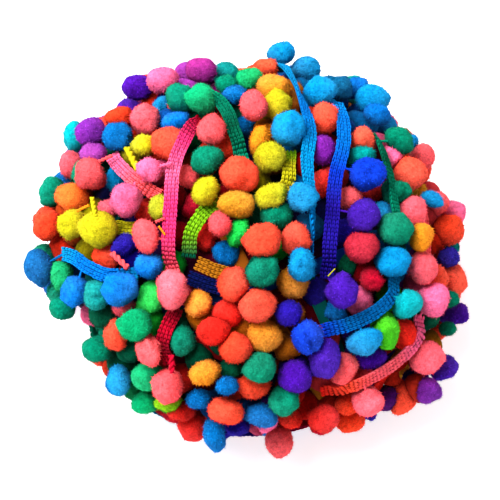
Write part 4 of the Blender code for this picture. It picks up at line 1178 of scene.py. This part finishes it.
# %% A grid over a ball
def ball_grid(around, rings):
    """Directions over a ball on rings of equal angle between two poles, its faces and its map.

    A ring at angle t from the pole has the points (sin t cos p, sin t sin p, cos t).
    """
    t = (np.arange(rings) + 1.0) / (rings + 1.0) * math.pi
    p = np.arange(around) / around * 2.0 * math.pi
    ring = np.stack([np.outer(np.sin(t), np.cos(p)), np.outer(np.sin(t), np.sin(p)),
                     np.outer(np.cos(t), np.ones(around))], axis=2).reshape(-1, 3)
    ways = np.vstack([ring, [[0.0, 0.0, 1.0], [0.0, 0.0, -1.0]]])
    i, j = np.meshgrid(np.arange(rings - 1), np.arange(around), indexing="ij")
    i, j = i.ravel(), j.ravel()
    after = (j + 1) % around
    quads = np.stack([i * around + j, (i + 1) * around + j,
                      (i + 1) * around + after, i * around + after], axis=1)
    quad_places = np.stack([np.stack([j, i + 1], 1), np.stack([j, i + 2], 1),
                            np.stack([j + 1, i + 2], 1), np.stack([j + 1, i + 1], 1)], axis=1)
    j = np.arange(around)
    after = (j + 1) % around
    last = (rings - 1) * around
    top = np.stack([np.full(around, rings * around), j, after], axis=1)
    bottom = np.stack([last + after, last + j, np.full(around, rings * around + 1)], axis=1)
    top_places = np.stack([np.stack([j + 0.5, 0 * j], 1), np.stack([j, 0 * j + 1], 1),
                           np.stack([j + 1, 0 * j + 1], 1)], axis=1)
    low = 0 * j + rings
    bottom_places = np.stack([np.stack([j + 1, low], 1), np.stack([j, low], 1),
                              np.stack([j + 0.5, low + 1], 1)], axis=1)
    size = np.array([around, rings + 1.0])
    return ways, quads, np.vstack([top, bottom]), (quad_places / size,
                                                   np.concatenate([top_places, bottom_places]) / size)


print("a grid of 8 by 3 has", len(ball_grid(8, 3)[0]), "directions")

# %% [markdown]
# ## Dyeing and piling the pompoms
#
# The trim was dyed in a gradient, so one side of a pompom is often nearer to the next dye than the
# other. The mesh carries that blend, and the dents and creases are darkened in it as painted shade. Over
# the ball lies the pile: short fibres that stand at a low angle and blur the outline. A hair system would
# give far more strands than show. Single triangles that taper to a point do the same at this size. The
# side that faces into the bundle, towards the heading, is darkened too as painted shade, and in the
# darkest dyes some fibres took less dye.

# %% Dyes over a pompom
DYE_ORDER = list(COLOURS)
FADE_MOST = 0.25
PALE_MOST = 0.07
PALE_LEVEL = 0.9
LIGHT_RANGE = (0.90, 1.10)
# Painted shade: the pile is darkened on its side that faces into the bundle and in the dents and creases.
PAINTED_ROOT_SHADE = 0.36
ROOT_MIDDLE = 0.5
ROOT_SLOPE = 0.7
PAINTED_DENT_SHADE = 1.1


def dye_pairs(names, random):
    """Each ball's own dye and the one that it fades to, with a random strength."""
    count = len(names)
    first = np.array([dye(name) for name in names])
    index = np.array([DYE_ORDER.index(name) for name in names])
    step = random.choice([-1, 1], count)
    second = np.array([dye(DYE_ORDER[k]) for k in np.clip(index + step, 0, len(DYE_ORDER) - 1)])
    fade = random.uniform(0.0, FADE_MOST, (count, 1))
    pale = random.uniform(0.0, PALE_MOST, (count, 1))
    brightest = first.max(axis=1, keepdims=True)
    second = first + fade * (second - first) + pale * brightest * (PALE_LEVEL - first)
    light = random.uniform(*LIGHT_RANGE, (count, 1))
    return first * light, second * light


def painted_root_shade(balls, ways):
    """Painted shade on the pile: 1 outside, darker towards the heading and the inside of the bundle."""
    turned = cosines(ways, outward(balls.middles))
    return (1.0 - PAINTED_ROOT_SHADE * np.clip(ROOT_MIDDLE - ROOT_SLOPE * turned, 0.0, 1.0))[..., None]


def dyed(balls, pair, fade_ways, ways, dent, tone=1.0):
    """Dyes over balls: a blend of the pair along a way, times the tone, with painted shade inwards and in
    the dents.
    """
    share = 0.5 + 0.5 * cosines(ways, fade_ways)[..., None]
    blend = pair[0][:, None] * (1 - share) + pair[1][:, None] * share
    return blend * tone * painted_root_shade(balls, ways) * (1.0 - PAINTED_DENT_SHADE * dent[..., None])


print(len(DYE_ORDER), "dyes, from", DYE_ORDER[0], "to", DYE_ORDER[-1])

# %% Bodies and pile
FIBRE_WIDTH = 0.24 * MM
FIBRE_LENGTH = (0.5 * MM, 1.15 * MM)
FIBRE_TILT = (38.0, 74.0)
FIBRE_SCATTER = 0.05
FIBRE_SINK = 0.08 * MM
FIBRE_LOWEST = 0.1 * MM
FIBRE_TONE = 1.06
TONE_LIMITS = (0.75, 2.6)
COARSE = ("indigo", "purple", "cobalt", "ultramarine", "violet", "blue", "navy")
COARSE_SPREAD = 0.75
EVEN_SPREAD = 0.20
BODY_BOX = (0.0, 0.0, 1.0, 0.5)
PILE_BOX = (0.0, 0.5, 1.0, 1.0)


def pick(balls, which):
    """Some of the balls."""
    return Balls(*[field[which] for field in balls])


def body_parts(balls, pair, fade_ways, around, rings):
    """Closed bodies: the grid of directions, turned by each ball's spin, times the reach."""
    grid, quads, tris, maps = ball_grid(around, rings)
    ways = np.einsum("vk,pjk->pvj", grid, balls.spins)
    far, dent = reach(balls, ways)
    points = balls.middles[:, None] + far[..., None] * ways
    tints = dyed(balls, pair, fade_ways, ways, dent)
    return copied_part(points, tints, [quads, tris], maps, len(balls.middles), BODY_BOX)


def pile_part(balls, names, pair, fade_ways, fibres, random):
    """Fibres: one triangle each, on a golden-angle spiral of directions, leaning over by its tilt."""
    count = len(names)
    k = np.arange(fibres)
    level = 1.0 - 2.0 * (k + 0.5) / fibres
    turn = np.radians(GOLDEN_ANGLE) * k
    flat = np.sqrt(1 - level ** 2)
    spread = np.stack([flat * np.cos(turn), flat * np.sin(turn), level], axis=1)
    ways = np.einsum("vk,pjk->pvj", spread, balls.spins)
    ways = unit(ways + FIBRE_SCATTER * random.normal(size=ways.shape))
    far, dent = reach(balls, ways)
    side = unit(np.cross(ways, random.normal(size=ways.shape)))
    tilt = np.radians(random.uniform(*FIBRE_TILT, (count, fibres, 1)))
    length = random.uniform(*FIBRE_LENGTH, (count, fibres, 1))
    root = balls.middles[:, None] + (far[..., None] - FIBRE_SINK) * ways
    tip = root + length * (np.cos(tilt) * ways + np.sin(tilt) * np.cross(side, ways))
    tip[..., 2] = np.maximum(tip[..., 2], FIBRE_LOWEST)
    half = 0.5 * FIBRE_WIDTH * side
    hair = np.stack([root - half, tip, root + half], axis=2)
    coarse = np.array([COARSE_SPREAD if name in COARSE else EVEN_SPREAD for name in names])
    tone = FIBRE_TONE + coarse[:, None, None] * random.normal(size=(count, fibres, 1))
    tints = dyed(balls, pair, fade_ways, ways, dent, np.clip(tone, *TONE_LIMITS))
    triangle = np.array([[0.0, 0.0], [0.5, 1.0], [1.0, 0.0]])
    return copied_part(hair, np.repeat(tints.reshape(-1, 3), 3, axis=0), [np.arange(3)[None]], [triangle],
                       count * fibres, PILE_BOX)


def pompom_parts(balls, names, around, rings, fibres, seed, dim=1.0, depth=1.0):
    """Bodies and pile of a group of pompoms as two parts, their dyes dimmed and deepened as painted shade.
    """
    random = np.random.default_rng(seed)
    pair = [dim * dyes ** depth for dyes in dye_pairs(names, random)]
    fade_ways = unit(random.normal(size=(len(names), 3)))
    return [body_parts(balls, pair, fade_ways, around, rings),
            pile_part(balls, names, pair, fade_ways, fibres, random)]


print("fibres of up to", round(1000 * FIBRE_LENGTH[1], 2), "mm")

# %% Pompoms
OUTER_DETAIL = (28, 15, 850)
UNDER_DETAIL = (20, 11, 260)
NEARBY = 3
SHAPE_SEED = 11
BAND_SEEDS, OUTER_SEEDS, UNDER_SEEDS = 100, 200, 300

outer_colours = list(colours)
for noted in NOTED:
    outer_colours[noted.ball] = noted.dye
under_colours = [outer_colours[np.argsort(np.linalg.norm(centres - place, axis=1))[k % NEARBY]]
                 for k, place in enumerate(under)]
all_middles = np.vstack([centres, under])
all_radii = np.concatenate([radii + 0.5 * GAP, np.full(len(under), UNDER_RADIUS)])
names = np.array(list(colours) + under_colours, dtype=object)
shapes = noted_shapes(all_middles, all_radii, names)
balls = make_balls(all_middles, all_radii, shapes, SHAPE_SEED)

band_names = [run.name for run in RUNS] + [turn.name for turn in TURNS]
band_slots = ["yarn_" + run.colour for run in RUNS] + ["yarn_" + turn.colour for turn in TURNS]
for index, name in enumerate(band_names):
    mine = np.nonzero(owners == index)[0]
    parts = pompom_parts(pick(balls, mine), names[mine], *OUTER_DETAIL, BAND_SEEDS + index)
    make_piece(f"pompoms_{name}", parts, FELT, name)
for index, colour in enumerate(COLOURS):
    mine = np.nonzero((owners < 0) & (names[:len(owners)] == colour))[0]
    if len(mine):
        parts = pompom_parts(pick(balls, mine), names[mine], *OUTER_DETAIL, OUTER_SEEDS + index)
        make_piece(f"pompoms_{colour}", parts, FELT, "wound_ball")
    mine = len(owners) + np.nonzero(names[len(owners):] == colour)[0]
    if len(mine):
        parts = pompom_parts(pick(balls, mine), names[mine], *UNDER_DETAIL, UNDER_SEEDS + index,
                             UNDER_PAINTED_SHADE, UNDER_SHADE_DEPTH)
        make_piece(f"under_pompoms_{colour}", parts, FELT, "wound_ball")
print(totals)

# %% [markdown]
# ## The knitted heading
#
# The heading is a narrow warp knit: four columns of V stitches on a flat strip, with small pits between
# them. A bump texture would give the pits but no edge. Here every leg of a V is a short plump strand of
# its own, bent into the strip at both ends, which is what one sees on the real braid. The strip under
# them is a thin closed ribbon.

# %% Stitches
COLUMNS = 4
COLUMN_PITCH = 1.22 * MM
STITCH_PITCH = 1.35 * MM
LEG_LENGTH = 1.65 * MM
LEG_START = 0.13 * MM
LEG_SPREAD = 0.24 * MM
LEG_RADIUS = 0.31 * MM
LEG_ARCH = 0.10 * MM
LEG_DIVE = 0.22 * MM
LEG_SIDES = 5
LEG_RINGS = 4
RIBBON_WIDTH = 4.3 * MM
RIBBON_THICK = 0.9 * MM
RIBBON_STEP = 0.9 * MM
RIBBON_SIDES = 12
SQUARENESS = 0.6
RIPPLE = 0.12
PAINTED_FACE_SHADE = 0.35
PAINTED_BACK_SHADE = 0.75
LEG_TAPER = 0.45
LEG_ENDS = (0.06, 0.94)
LEG_JITTER = 0.06 * MM
LEG_TONE = (1.05, 0.10)
LEG_TONE_LIMITS = (0.6, 1.5)
LEG_END_SHADE = 0.85
LEG_GAIN = 0.15
DIVE_START = 0.4
FACE_FROM = 0.4


def blend_dyes(names, shares):
    """Dye along a band: straight blends between the named dyes at equal steps."""
    table = np.array([dye(name) for name in names.split()])
    marks = np.linspace(0.0, 1.0, len(table))
    return np.stack([np.interp(shares, marks, table[:, k]) for k in range(3)], axis=-1)


def tube_faces(rings, sides):
    """Side faces of a tube of rings, and its two end faces."""
    i, j = np.meshgrid(np.arange(rings - 1), np.arange(sides), indexing="ij")
    i, j = i.ravel(), j.ravel()
    after = (j + 1) % sides
    quads = np.stack([i * sides + j, i * sides + after,
                      (i + 1) * sides + after, (i + 1) * sides + j], axis=1)
    places = np.stack([np.stack([j, i], 1), np.stack([j + 1, i], 1),
                       np.stack([j + 1, i + 1], 1), np.stack([j, i + 1], 1)], axis=1)
    ends = np.stack([np.arange(sides)[::-1], (rings - 1) * sides + np.arange(sides)])
    angle = np.arange(sides) / sides * 2 * math.pi
    disc = 0.5 + 0.5 * np.stack([np.cos(angle), np.sin(angle)], axis=1)
    return quads, ends, places / np.array([sides, rings - 1.0]), np.stack([disc[::-1], disc])


def stitch_part(line, roll, dyes, random, box):
    """Legs of the V stitches on a band's outer face.

    A leg's middle line runs outwards by LEG_SPREAD, arches as sin(pi t) and dives by LEG_DIVE under the
    start of the next leg. Its radius is LEG_RADIUS times sin(pi t) to the power LEG_TAPER.
    """
    across, face = band_frames(line, roll)
    forward = unit(np.gradient(line, axis=0))
    count = len(line)
    columns = (np.arange(COLUMNS) - 0.5 * (COLUMNS - 1)) * COLUMN_PITCH
    sides = np.array([-1.0, 1.0])
    t = np.linspace(*LEG_ENDS, LEG_RINGS)
    turn = np.arange(LEG_SIDES) / LEG_SIDES * 2 * math.pi
    jitter = random.normal(size=(count, COLUMNS, 2, 1, 3)) * LEG_JITTER
    off = columns[None, :, None, None] + sides[None, None, :, None] * (LEG_START + LEG_SPREAD * t)
    along = (t - 0.5) * LEG_LENGTH
    rise = 0.5 * RIBBON_THICK + LEG_ARCH * np.sin(math.pi * t) + LEG_DIVE * (DIVE_START - t)
    middle = (line[:, None, None, None] + off[..., None] * across[:, None, None, None]
              + along[:, None] * forward[:, None, None, None]
              + rise[:, None] * face[:, None, None, None] + jitter)
    width = LEG_RADIUS * np.sin(math.pi * t) ** LEG_TAPER
    section = (np.cos(turn)[:, None] * across[:, None, None, None, None]
               + np.sin(turn)[:, None] * face[:, None, None, None, None])
    points = middle[..., None, :] + width[:, None, None] * section
    quads, ends, quad_places, end_places = tube_faces(LEG_RINGS, LEG_SIDES)
    legs = count * COLUMNS * 2
    step = LEG_RINGS * LEG_SIDES
    tone = random.normal(*LEG_TONE, (legs, 1)).clip(*LEG_TONE_LIMITS)
    # Painted shade: each leg is darker towards its ends, where it dives into the strip.
    low = LEG_END_SHADE + LEG_GAIN * np.sin(math.pi * t)
    leg_dyes = np.repeat(dyes, COLUMNS * 2, axis=0) * tone
    tint = np.repeat(leg_dyes, step, axis=0).reshape(legs, LEG_RINGS, -1, 3) * low[:, None, None]
    return copied_part(points, tint, [quads, ends], [quad_places, end_places], legs, box)


def ribbon_part(line, roll, width, thick, dyes, box):
    """Closed strip: half width cos a, half thickness sin a, both to the power SQUARENESS, rippled."""
    across, face = band_frames(line, roll)
    angle = -np.arange(RIBBON_SIDES) / RIBBON_SIDES * 2 * math.pi
    flat = np.sign(np.cos(angle)) * np.abs(np.cos(angle)) ** SQUARENESS * 0.5 * width
    deep = np.sign(np.sin(angle)) * np.abs(np.sin(angle)) ** SQUARENESS * 0.5 * thick
    ripple = 1.0 + RIPPLE * np.cos(math.pi * np.arange(len(line)))[:, None, None]
    points = (line[:, None] + flat[:, None] * across[:, None] + ripple * deep[:, None] * face[:, None])
    quads, ends, quad_places, end_places = tube_faces(len(line), RIBBON_SIDES)
    # Painted shade: the strip's outer face, which lies in the pits under the stitches or deep in the
    # bundle, is darkened most, the rest of the strip less.
    shade = np.where(np.sin(angle) > FACE_FROM, PAINTED_FACE_SHADE, PAINTED_BACK_SHADE)
    return copied_part(points, shade[:, None] * dyes[:, None], [quads, ends], [quad_places, end_places],
                       1, box)


print(COLUMNS, "columns with a stitch every", round(1000 * STITCH_PITCH, 2), "mm")

# %% [markdown]
# ## Where the runs are seen
#
# On the real bundle the runs stand proud of the pompoms by half their width. From a steep angle a raised
# band is seen a little way off its route. New routes could be typed in, but then the frame's solids and
# the scene would follow two tables. Instead the raised line is moved back across the line of sight.

# %% Where the runs are seen
RUN_ROLLS = {
    "run_sky_fall": (-10, 35, 60, 30, 10, 25, 60, 80),
    "run_pink_fall": (65, 35, 8, 4, 0, 0, -8),
}


def shown_path(run, step):
    """A run's line, moved so that it is seen nearer to its route.

    The line is raised from the shell along the normal, which also moves it across the view. This takes
    off the part of that raise that lies across the view: line - height * (normal less its part along it).
    """
    line = run_path(run, step)
    height = np.clip(height_over_shell(line), 0.0, None)[:, None]
    normal = outward(line)
    sideways = normal - (normal @ VIEW_BACK)[:, None] * VIEW_BACK
    return line - height * sideways


first_shift = shown_path(RUNS[0], BAND_SAMPLE_STEP) - run_path(RUNS[0], BAND_SAMPLE_STEP)
print(RUNS[0].name, "is moved by up to", round(1000 * np.abs(first_shift).max(), 1), "mm")

# %% Headings
RUN_SEEDS, TURN_SEEDS, TUCK_SEEDS = 400, 420, 440
LEVEL = (0, 0)
STITCH_BOX = (0.0, 0.0, 1.0, 0.8)
STRIP_BOX = (0.0, 0.8, 1.0, 1.0)
RUN_DYES = {
    "run_pink_fall": "crimson hotpink pink hotpink hotpink rose",
    "run_red_fall": "maroon crimson maroon crimson",
    "run_green_fall": "green emerald darkgreen emerald",
    "run_lime_twist": "lime lime lime darkgreen",
    "run_blue_left": "sky sky azure azure azure sky",
    "run_sky_fall": "sky sky azure sky sky azure",
    "run_cobalt_fall": "sky azure azure cobalt indigo indigo indigo",
    "run_green_edge": "emerald darkgreen emerald darkgreen",
    "run_blue_sweep": "sky blue blue blue cobalt",
    "run_pink_sweep": "pink pink salmon salmon coral red",
    "run_pink_left": "pink pink salmon rose",
    "run_yellow_fall": "lime lemon lemon yellow",
}
TURN_DYES = {
    "turn_front": "teal blue indigo navy crimson indigo",
    "turn_right": "purple magenta rose pink coral orange",
    "turn_back": "gold yellow lemon lime green emerald",
    "turn_left": "cobalt indigo purple orchid emerald darkgreen",
}


def heading(name, path, roll, dye_names, slot, node, seed):
    """A band's stitches and strip as one piece."""
    random = np.random.default_rng(seed)
    stitched = path(STITCH_PITCH)
    strip = path(RIBBON_STEP)
    stitch_dyes = blend_dyes(dye_names, np.linspace(0.0, 1.0, len(stitched)))
    strip_dyes = blend_dyes(dye_names, np.linspace(0.0, 1.0, len(strip)))
    parts = [stitch_part(stitched, roll, stitch_dyes, random, STITCH_BOX),
             ribbon_part(strip, roll, RIBBON_WIDTH, RIBBON_THICK, strip_dyes, STRIP_BOX)]
    make_piece(name, parts, PLY, node)


for index, run in enumerate(RUNS):
    rolls = RUN_ROLLS.get(run.name, run.turn)
    heading(f"heading_{run.name}", lambda step: shown_path(run, step), rolls, RUN_DYES[run.name],
            band_slots[index], run.name, RUN_SEEDS + index)
for index, turn in enumerate(TURNS):
    heading(f"heading_{turn.name}", lambda step: drawn_in(turn_path(turn, step)), LEVEL,
            TURN_DYES[turn.name], "yarn_" + turn.colour, turn.name, TURN_SEEDS + index)
for index, tuck in enumerate(TUCKS):
    heading(f"heading_tuck_{tuck.colour}", lambda step: tuck_path(tuck, step), LEVEL, tuck.colour,
            "yarn_rainbow", "wound_ball", TUCK_SEEDS + index)
print(totals)

# %% [markdown]
# ## Threads
#
# Each pompom hangs from the heading by a stitch of its own yarn, two plies twisted together. Each ply is
# a helix round the straight line between the two. A few stitches have come loose and lie over the
# bundle. Curves from a simulation would curl more, but at this size one sees little but their place and
# dye, so the same helix makes them from a short table.

# %% Thread parts
PLY_RADIUS = 0.33 * MM
PLY_OFFSET = 0.26 * MM
PLY_TWIST = 2.2 * MM
PLY_RINGS = 11
PLY_SIDES = 6
PLY_ASIDE = np.array([0.31, 0.27, 0.91])
WHOLE_BOX = (0.0, 0.0, 1.0, 1.0)


def thread_part(starts, ends, dyes, thick):
    """Two plies for each thread: p(t) = start + t (end - start) + offset (side cos a + other sin a).

    The angle a grows by a turn for each PLY_TWIST of length. Thick multiplies offset, radius and
    PLY_TWIST.
    """
    count = len(starts)
    span = ends - starts
    length = np.linalg.norm(span, axis=1, keepdims=True)
    along = span / length
    side = unit(np.cross(along, PLY_ASIDE))
    other = np.cross(along, side)
    t = np.linspace(0.0, 1.0, PLY_RINGS)
    turn = np.arange(PLY_SIDES) / PLY_SIDES * 2 * math.pi
    phase = np.array([0.0, math.pi])
    thick = np.reshape(thick, (count, 1, 1, 1))
    angle = 2 * math.pi * length[:, :, None] * t / (PLY_TWIST * thick[..., 0]) + phase[None, :, None]
    middle = (starts[:, None, None] + t[:, None] * span[:, None, None]
              + PLY_OFFSET * thick * (np.cos(angle)[..., None] * side[:, None, None]
                                      + np.sin(angle)[..., None] * other[:, None, None]))
    section = PLY_RADIUS * (np.cos(turn)[:, None] * side[:, None] + np.sin(turn)[:, None] * other[:, None])
    points = middle[..., None, :] + thick[..., None] * section[:, None, None]
    quads, caps, quad_places, cap_places = tube_faces(PLY_RINGS, PLY_SIDES)
    tints = np.repeat(dyes, 2 * PLY_RINGS * PLY_SIDES, axis=0)
    return copied_part(points, tints, [quads, caps], [quad_places, cap_places], 2 * count,
                       WHOLE_BOX)


print("plies of", round(2000 * PLY_RADIUS, 2), "mm")

# %% Threads of the runs and turns
for index, name in enumerate(band_names):
    mine = np.nonzero(owners == index)[0]
    if index < len(RUNS):
        line = shown_path(RUNS[index], BAND_SAMPLE_STEP)
    else:
        line = drawn_in(turn_path(TURNS[index - len(RUNS)], BAND_SAMPLE_STEP))
    nearest = np.argmin(np.linalg.norm(line[None] - all_middles[mine][:, None], axis=2), axis=1)
    dyes = np.array([dye(n) for n in names[mine]])
    part = thread_part(line[nearest], all_middles[mine], dyes, np.ones(len(mine)))
    make_piece(f"threads_{name}", [part], PLY, name)


print(totals)

# %% Loose strands
Strand = namedtuple("Strand", "start end thick dye")
STRANDS = (
    Strand((-30.0, 28.0, 6.0), (-26.0, 29.0, 6.0), 1.0, "pink"),
    Strand((-31.5, 9.3, 7.0), (-28.5, 10.5, 5.0), 1.0, "rose"),
    Strand((-30.5, 8.0, 6.0), (-28.3, 5.0, 5.0), 0.8, "gold"),
    Strand((-52.7, 17.5, 8.0), (-51.5, 11.0, 8.5), 1.5, "lemon"),
    Strand((-57.7, 13.0, 8.0), (-53.7, 15.0, 8.0), 1.0, "gold"),
    Strand((-50.5, 29.5, 6.5), (-45.8, 31.5, 5.0), 1.2, "rose"),
    Strand((-41.0, 34.0, 3.0), (-37.5, 27.0, 3.5), 2.2, "lemon"),
    Strand((26.0, -8.7, 5.0), (28.4, -6.2, 6.0), 0.45, "lemon"),
    Strand((-26.3, -35.0, 6.0), (-26.0, -41.0, 7.0), 1.8, "crimson"),
    Strand((-46.0, -1.0, 3.5), (-40.7, -6.0, 3.5), 2.0, "rose"),
)
strand_starts = np.vstack([sight(*(MM * np.array(s.start))) for s in STRANDS])
strand_ends = np.vstack([sight(*(MM * np.array(s.end))) for s in STRANDS])
strand_part = thread_part(strand_starts, strand_ends, np.array([dye(s.dye) for s in STRANDS]),
                          np.array([s.thick for s in STRANDS]))
make_piece("strands", [strand_part], PLY, "wound_ball")
print(totals)

# %% [markdown]
# ## The inside
#
# Deep between the pompoms one sees more turns of heading, nearly in the dark. They are plain strips
# that go round the bundle at random tilts, and below them a lumpy body closes the view; both are
# darkened in their colour as painted shade.

# %% Inner turns and body
INNER_SINK = 9.0 * MM
INNER_STEP = 1.35 * MM
BODY_SINK = 11.0 * MM
BODY_DROP = 30.5 * MM
BODY_AROUND, BODY_RINGS = 72, 40
BODY_WAVE = 0.02
BODY_LOWEST = 0.2 * MM
INNER_DROP = 27.5 * MM
INNER_LENGTH = 400 * MM
INNER_LOWEST = 2.0 * MM
InnerTurn = namedtuple("InnerTurn", "tilt bearing dyes")
INNER_TURNS = (
    InnerTurn(12, 20, "crimson indigo purple"),
    InnerTurn(75, 10, "darkgreen teal blue"),
    InnerTurn(55, 70, "indigo navy purple"),
    InnerTurn(80, 115, "orange gold lime"),
    InnerTurn(40, 150, "crimson red orange"),
    InnerTurn(65, 200, "blue cobalt indigo"),
    InnerTurn(30, 250, "purple magenta crimson"),
    InnerTurn(85, 300, "teal emerald darkgreen"),
    InnerTurn(50, 340, "red crimson purple"),
)


def inner_line(turn, sink, count):
    """Closed loop round the bundle: centre + axes * (cos a * first + sin a * second), axes less sink."""
    tilt, bearing = math.radians(turn.tilt), math.radians(turn.bearing)
    first = np.array([math.cos(bearing), math.sin(bearing), 0.0])
    second = np.array([-math.sin(bearing) * math.cos(tilt), math.cos(bearing) * math.cos(tilt),
                       math.sin(tilt)])
    angle = np.linspace(0.0, 2 * math.pi, count)[:, None]
    ways = np.cos(angle) * first + np.sin(angle) * second
    vertical = np.where(ways[:, 2:] >= 0, SHELL_RISE - sink, INNER_DROP)
    points = CENTRE + ways * np.hstack([np.full((count, 1), SHELL_X - sink),
                                        np.full((count, 1), SHELL_Y - sink), vertical])
    points[:, 2] = np.maximum(points[:, 2], INNER_LOWEST)
    return drawn_in(points)


inner_parts = []
for index, turn in enumerate(INNER_TURNS):
    line = inner_line(turn, INNER_SINK, round(INNER_LENGTH / INNER_STEP))
    low = 1.0 / len(INNER_TURNS)
    inner_parts.append(ribbon_part(line, (0, 0), BRAID_WIDTH, BRAID_THICK,
                                   blend_dyes(turn.dyes, np.linspace(0.0, 1.0, len(line))),
                                   (0.0, index * low, 1.0, (index + 1) * low)))
make_piece("inner_turns", inner_parts, PLY, "wound_ball")


def body_part():
    """Lumpy closed ellipsoid inside the turns, flat on the floor: axes times 1 + waves of angle."""
    grid, quads, tris, maps = ball_grid(BODY_AROUND, BODY_RINGS)
    wave = np.sin(grid[:, 0] * 9.0) + np.sin(grid[:, 1] * 11.0 + 1.0) + np.sin(grid[:, 2] * 13.0 + 2.0)
    vertical = np.where(grid[:, 2] >= 0, SHELL_RISE - BODY_SINK, BODY_DROP)
    axes = np.stack([np.full(len(grid), SHELL_X - BODY_SINK),
                     np.full(len(grid), SHELL_Y - BODY_SINK), vertical], axis=1)
    points = CENTRE + grid * axes * (1.0 + BODY_WAVE * (wave / 3))[:, None]
    points[:, 2] = np.maximum(points[:, 2], BODY_LOWEST)
    points = drawn_in(points)
    # Painted shade: the body is coloured dark crimson and navy for the shade deep inside the bundle.
    share = (0.5 + 0.5 * np.sin(grid @ np.array([5.0, 4.0, 3.0])))[:, None]
    tints = dye("crimson") * 0.22 * share + dye("navy") * 0.5 * (1.0 - share)
    return Part(points, [quads, tris], tints, np.vstack([table.reshape(-1, 2) for table in maps]))


make_piece("wound_inside", [body_part()], FELT, "wound_ball")
print(totals)

# %% Sizes and finish
low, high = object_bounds()
print("visual model:", [round(1000 * (b - a), 1) for a, b in zip(low, high)], "mm")
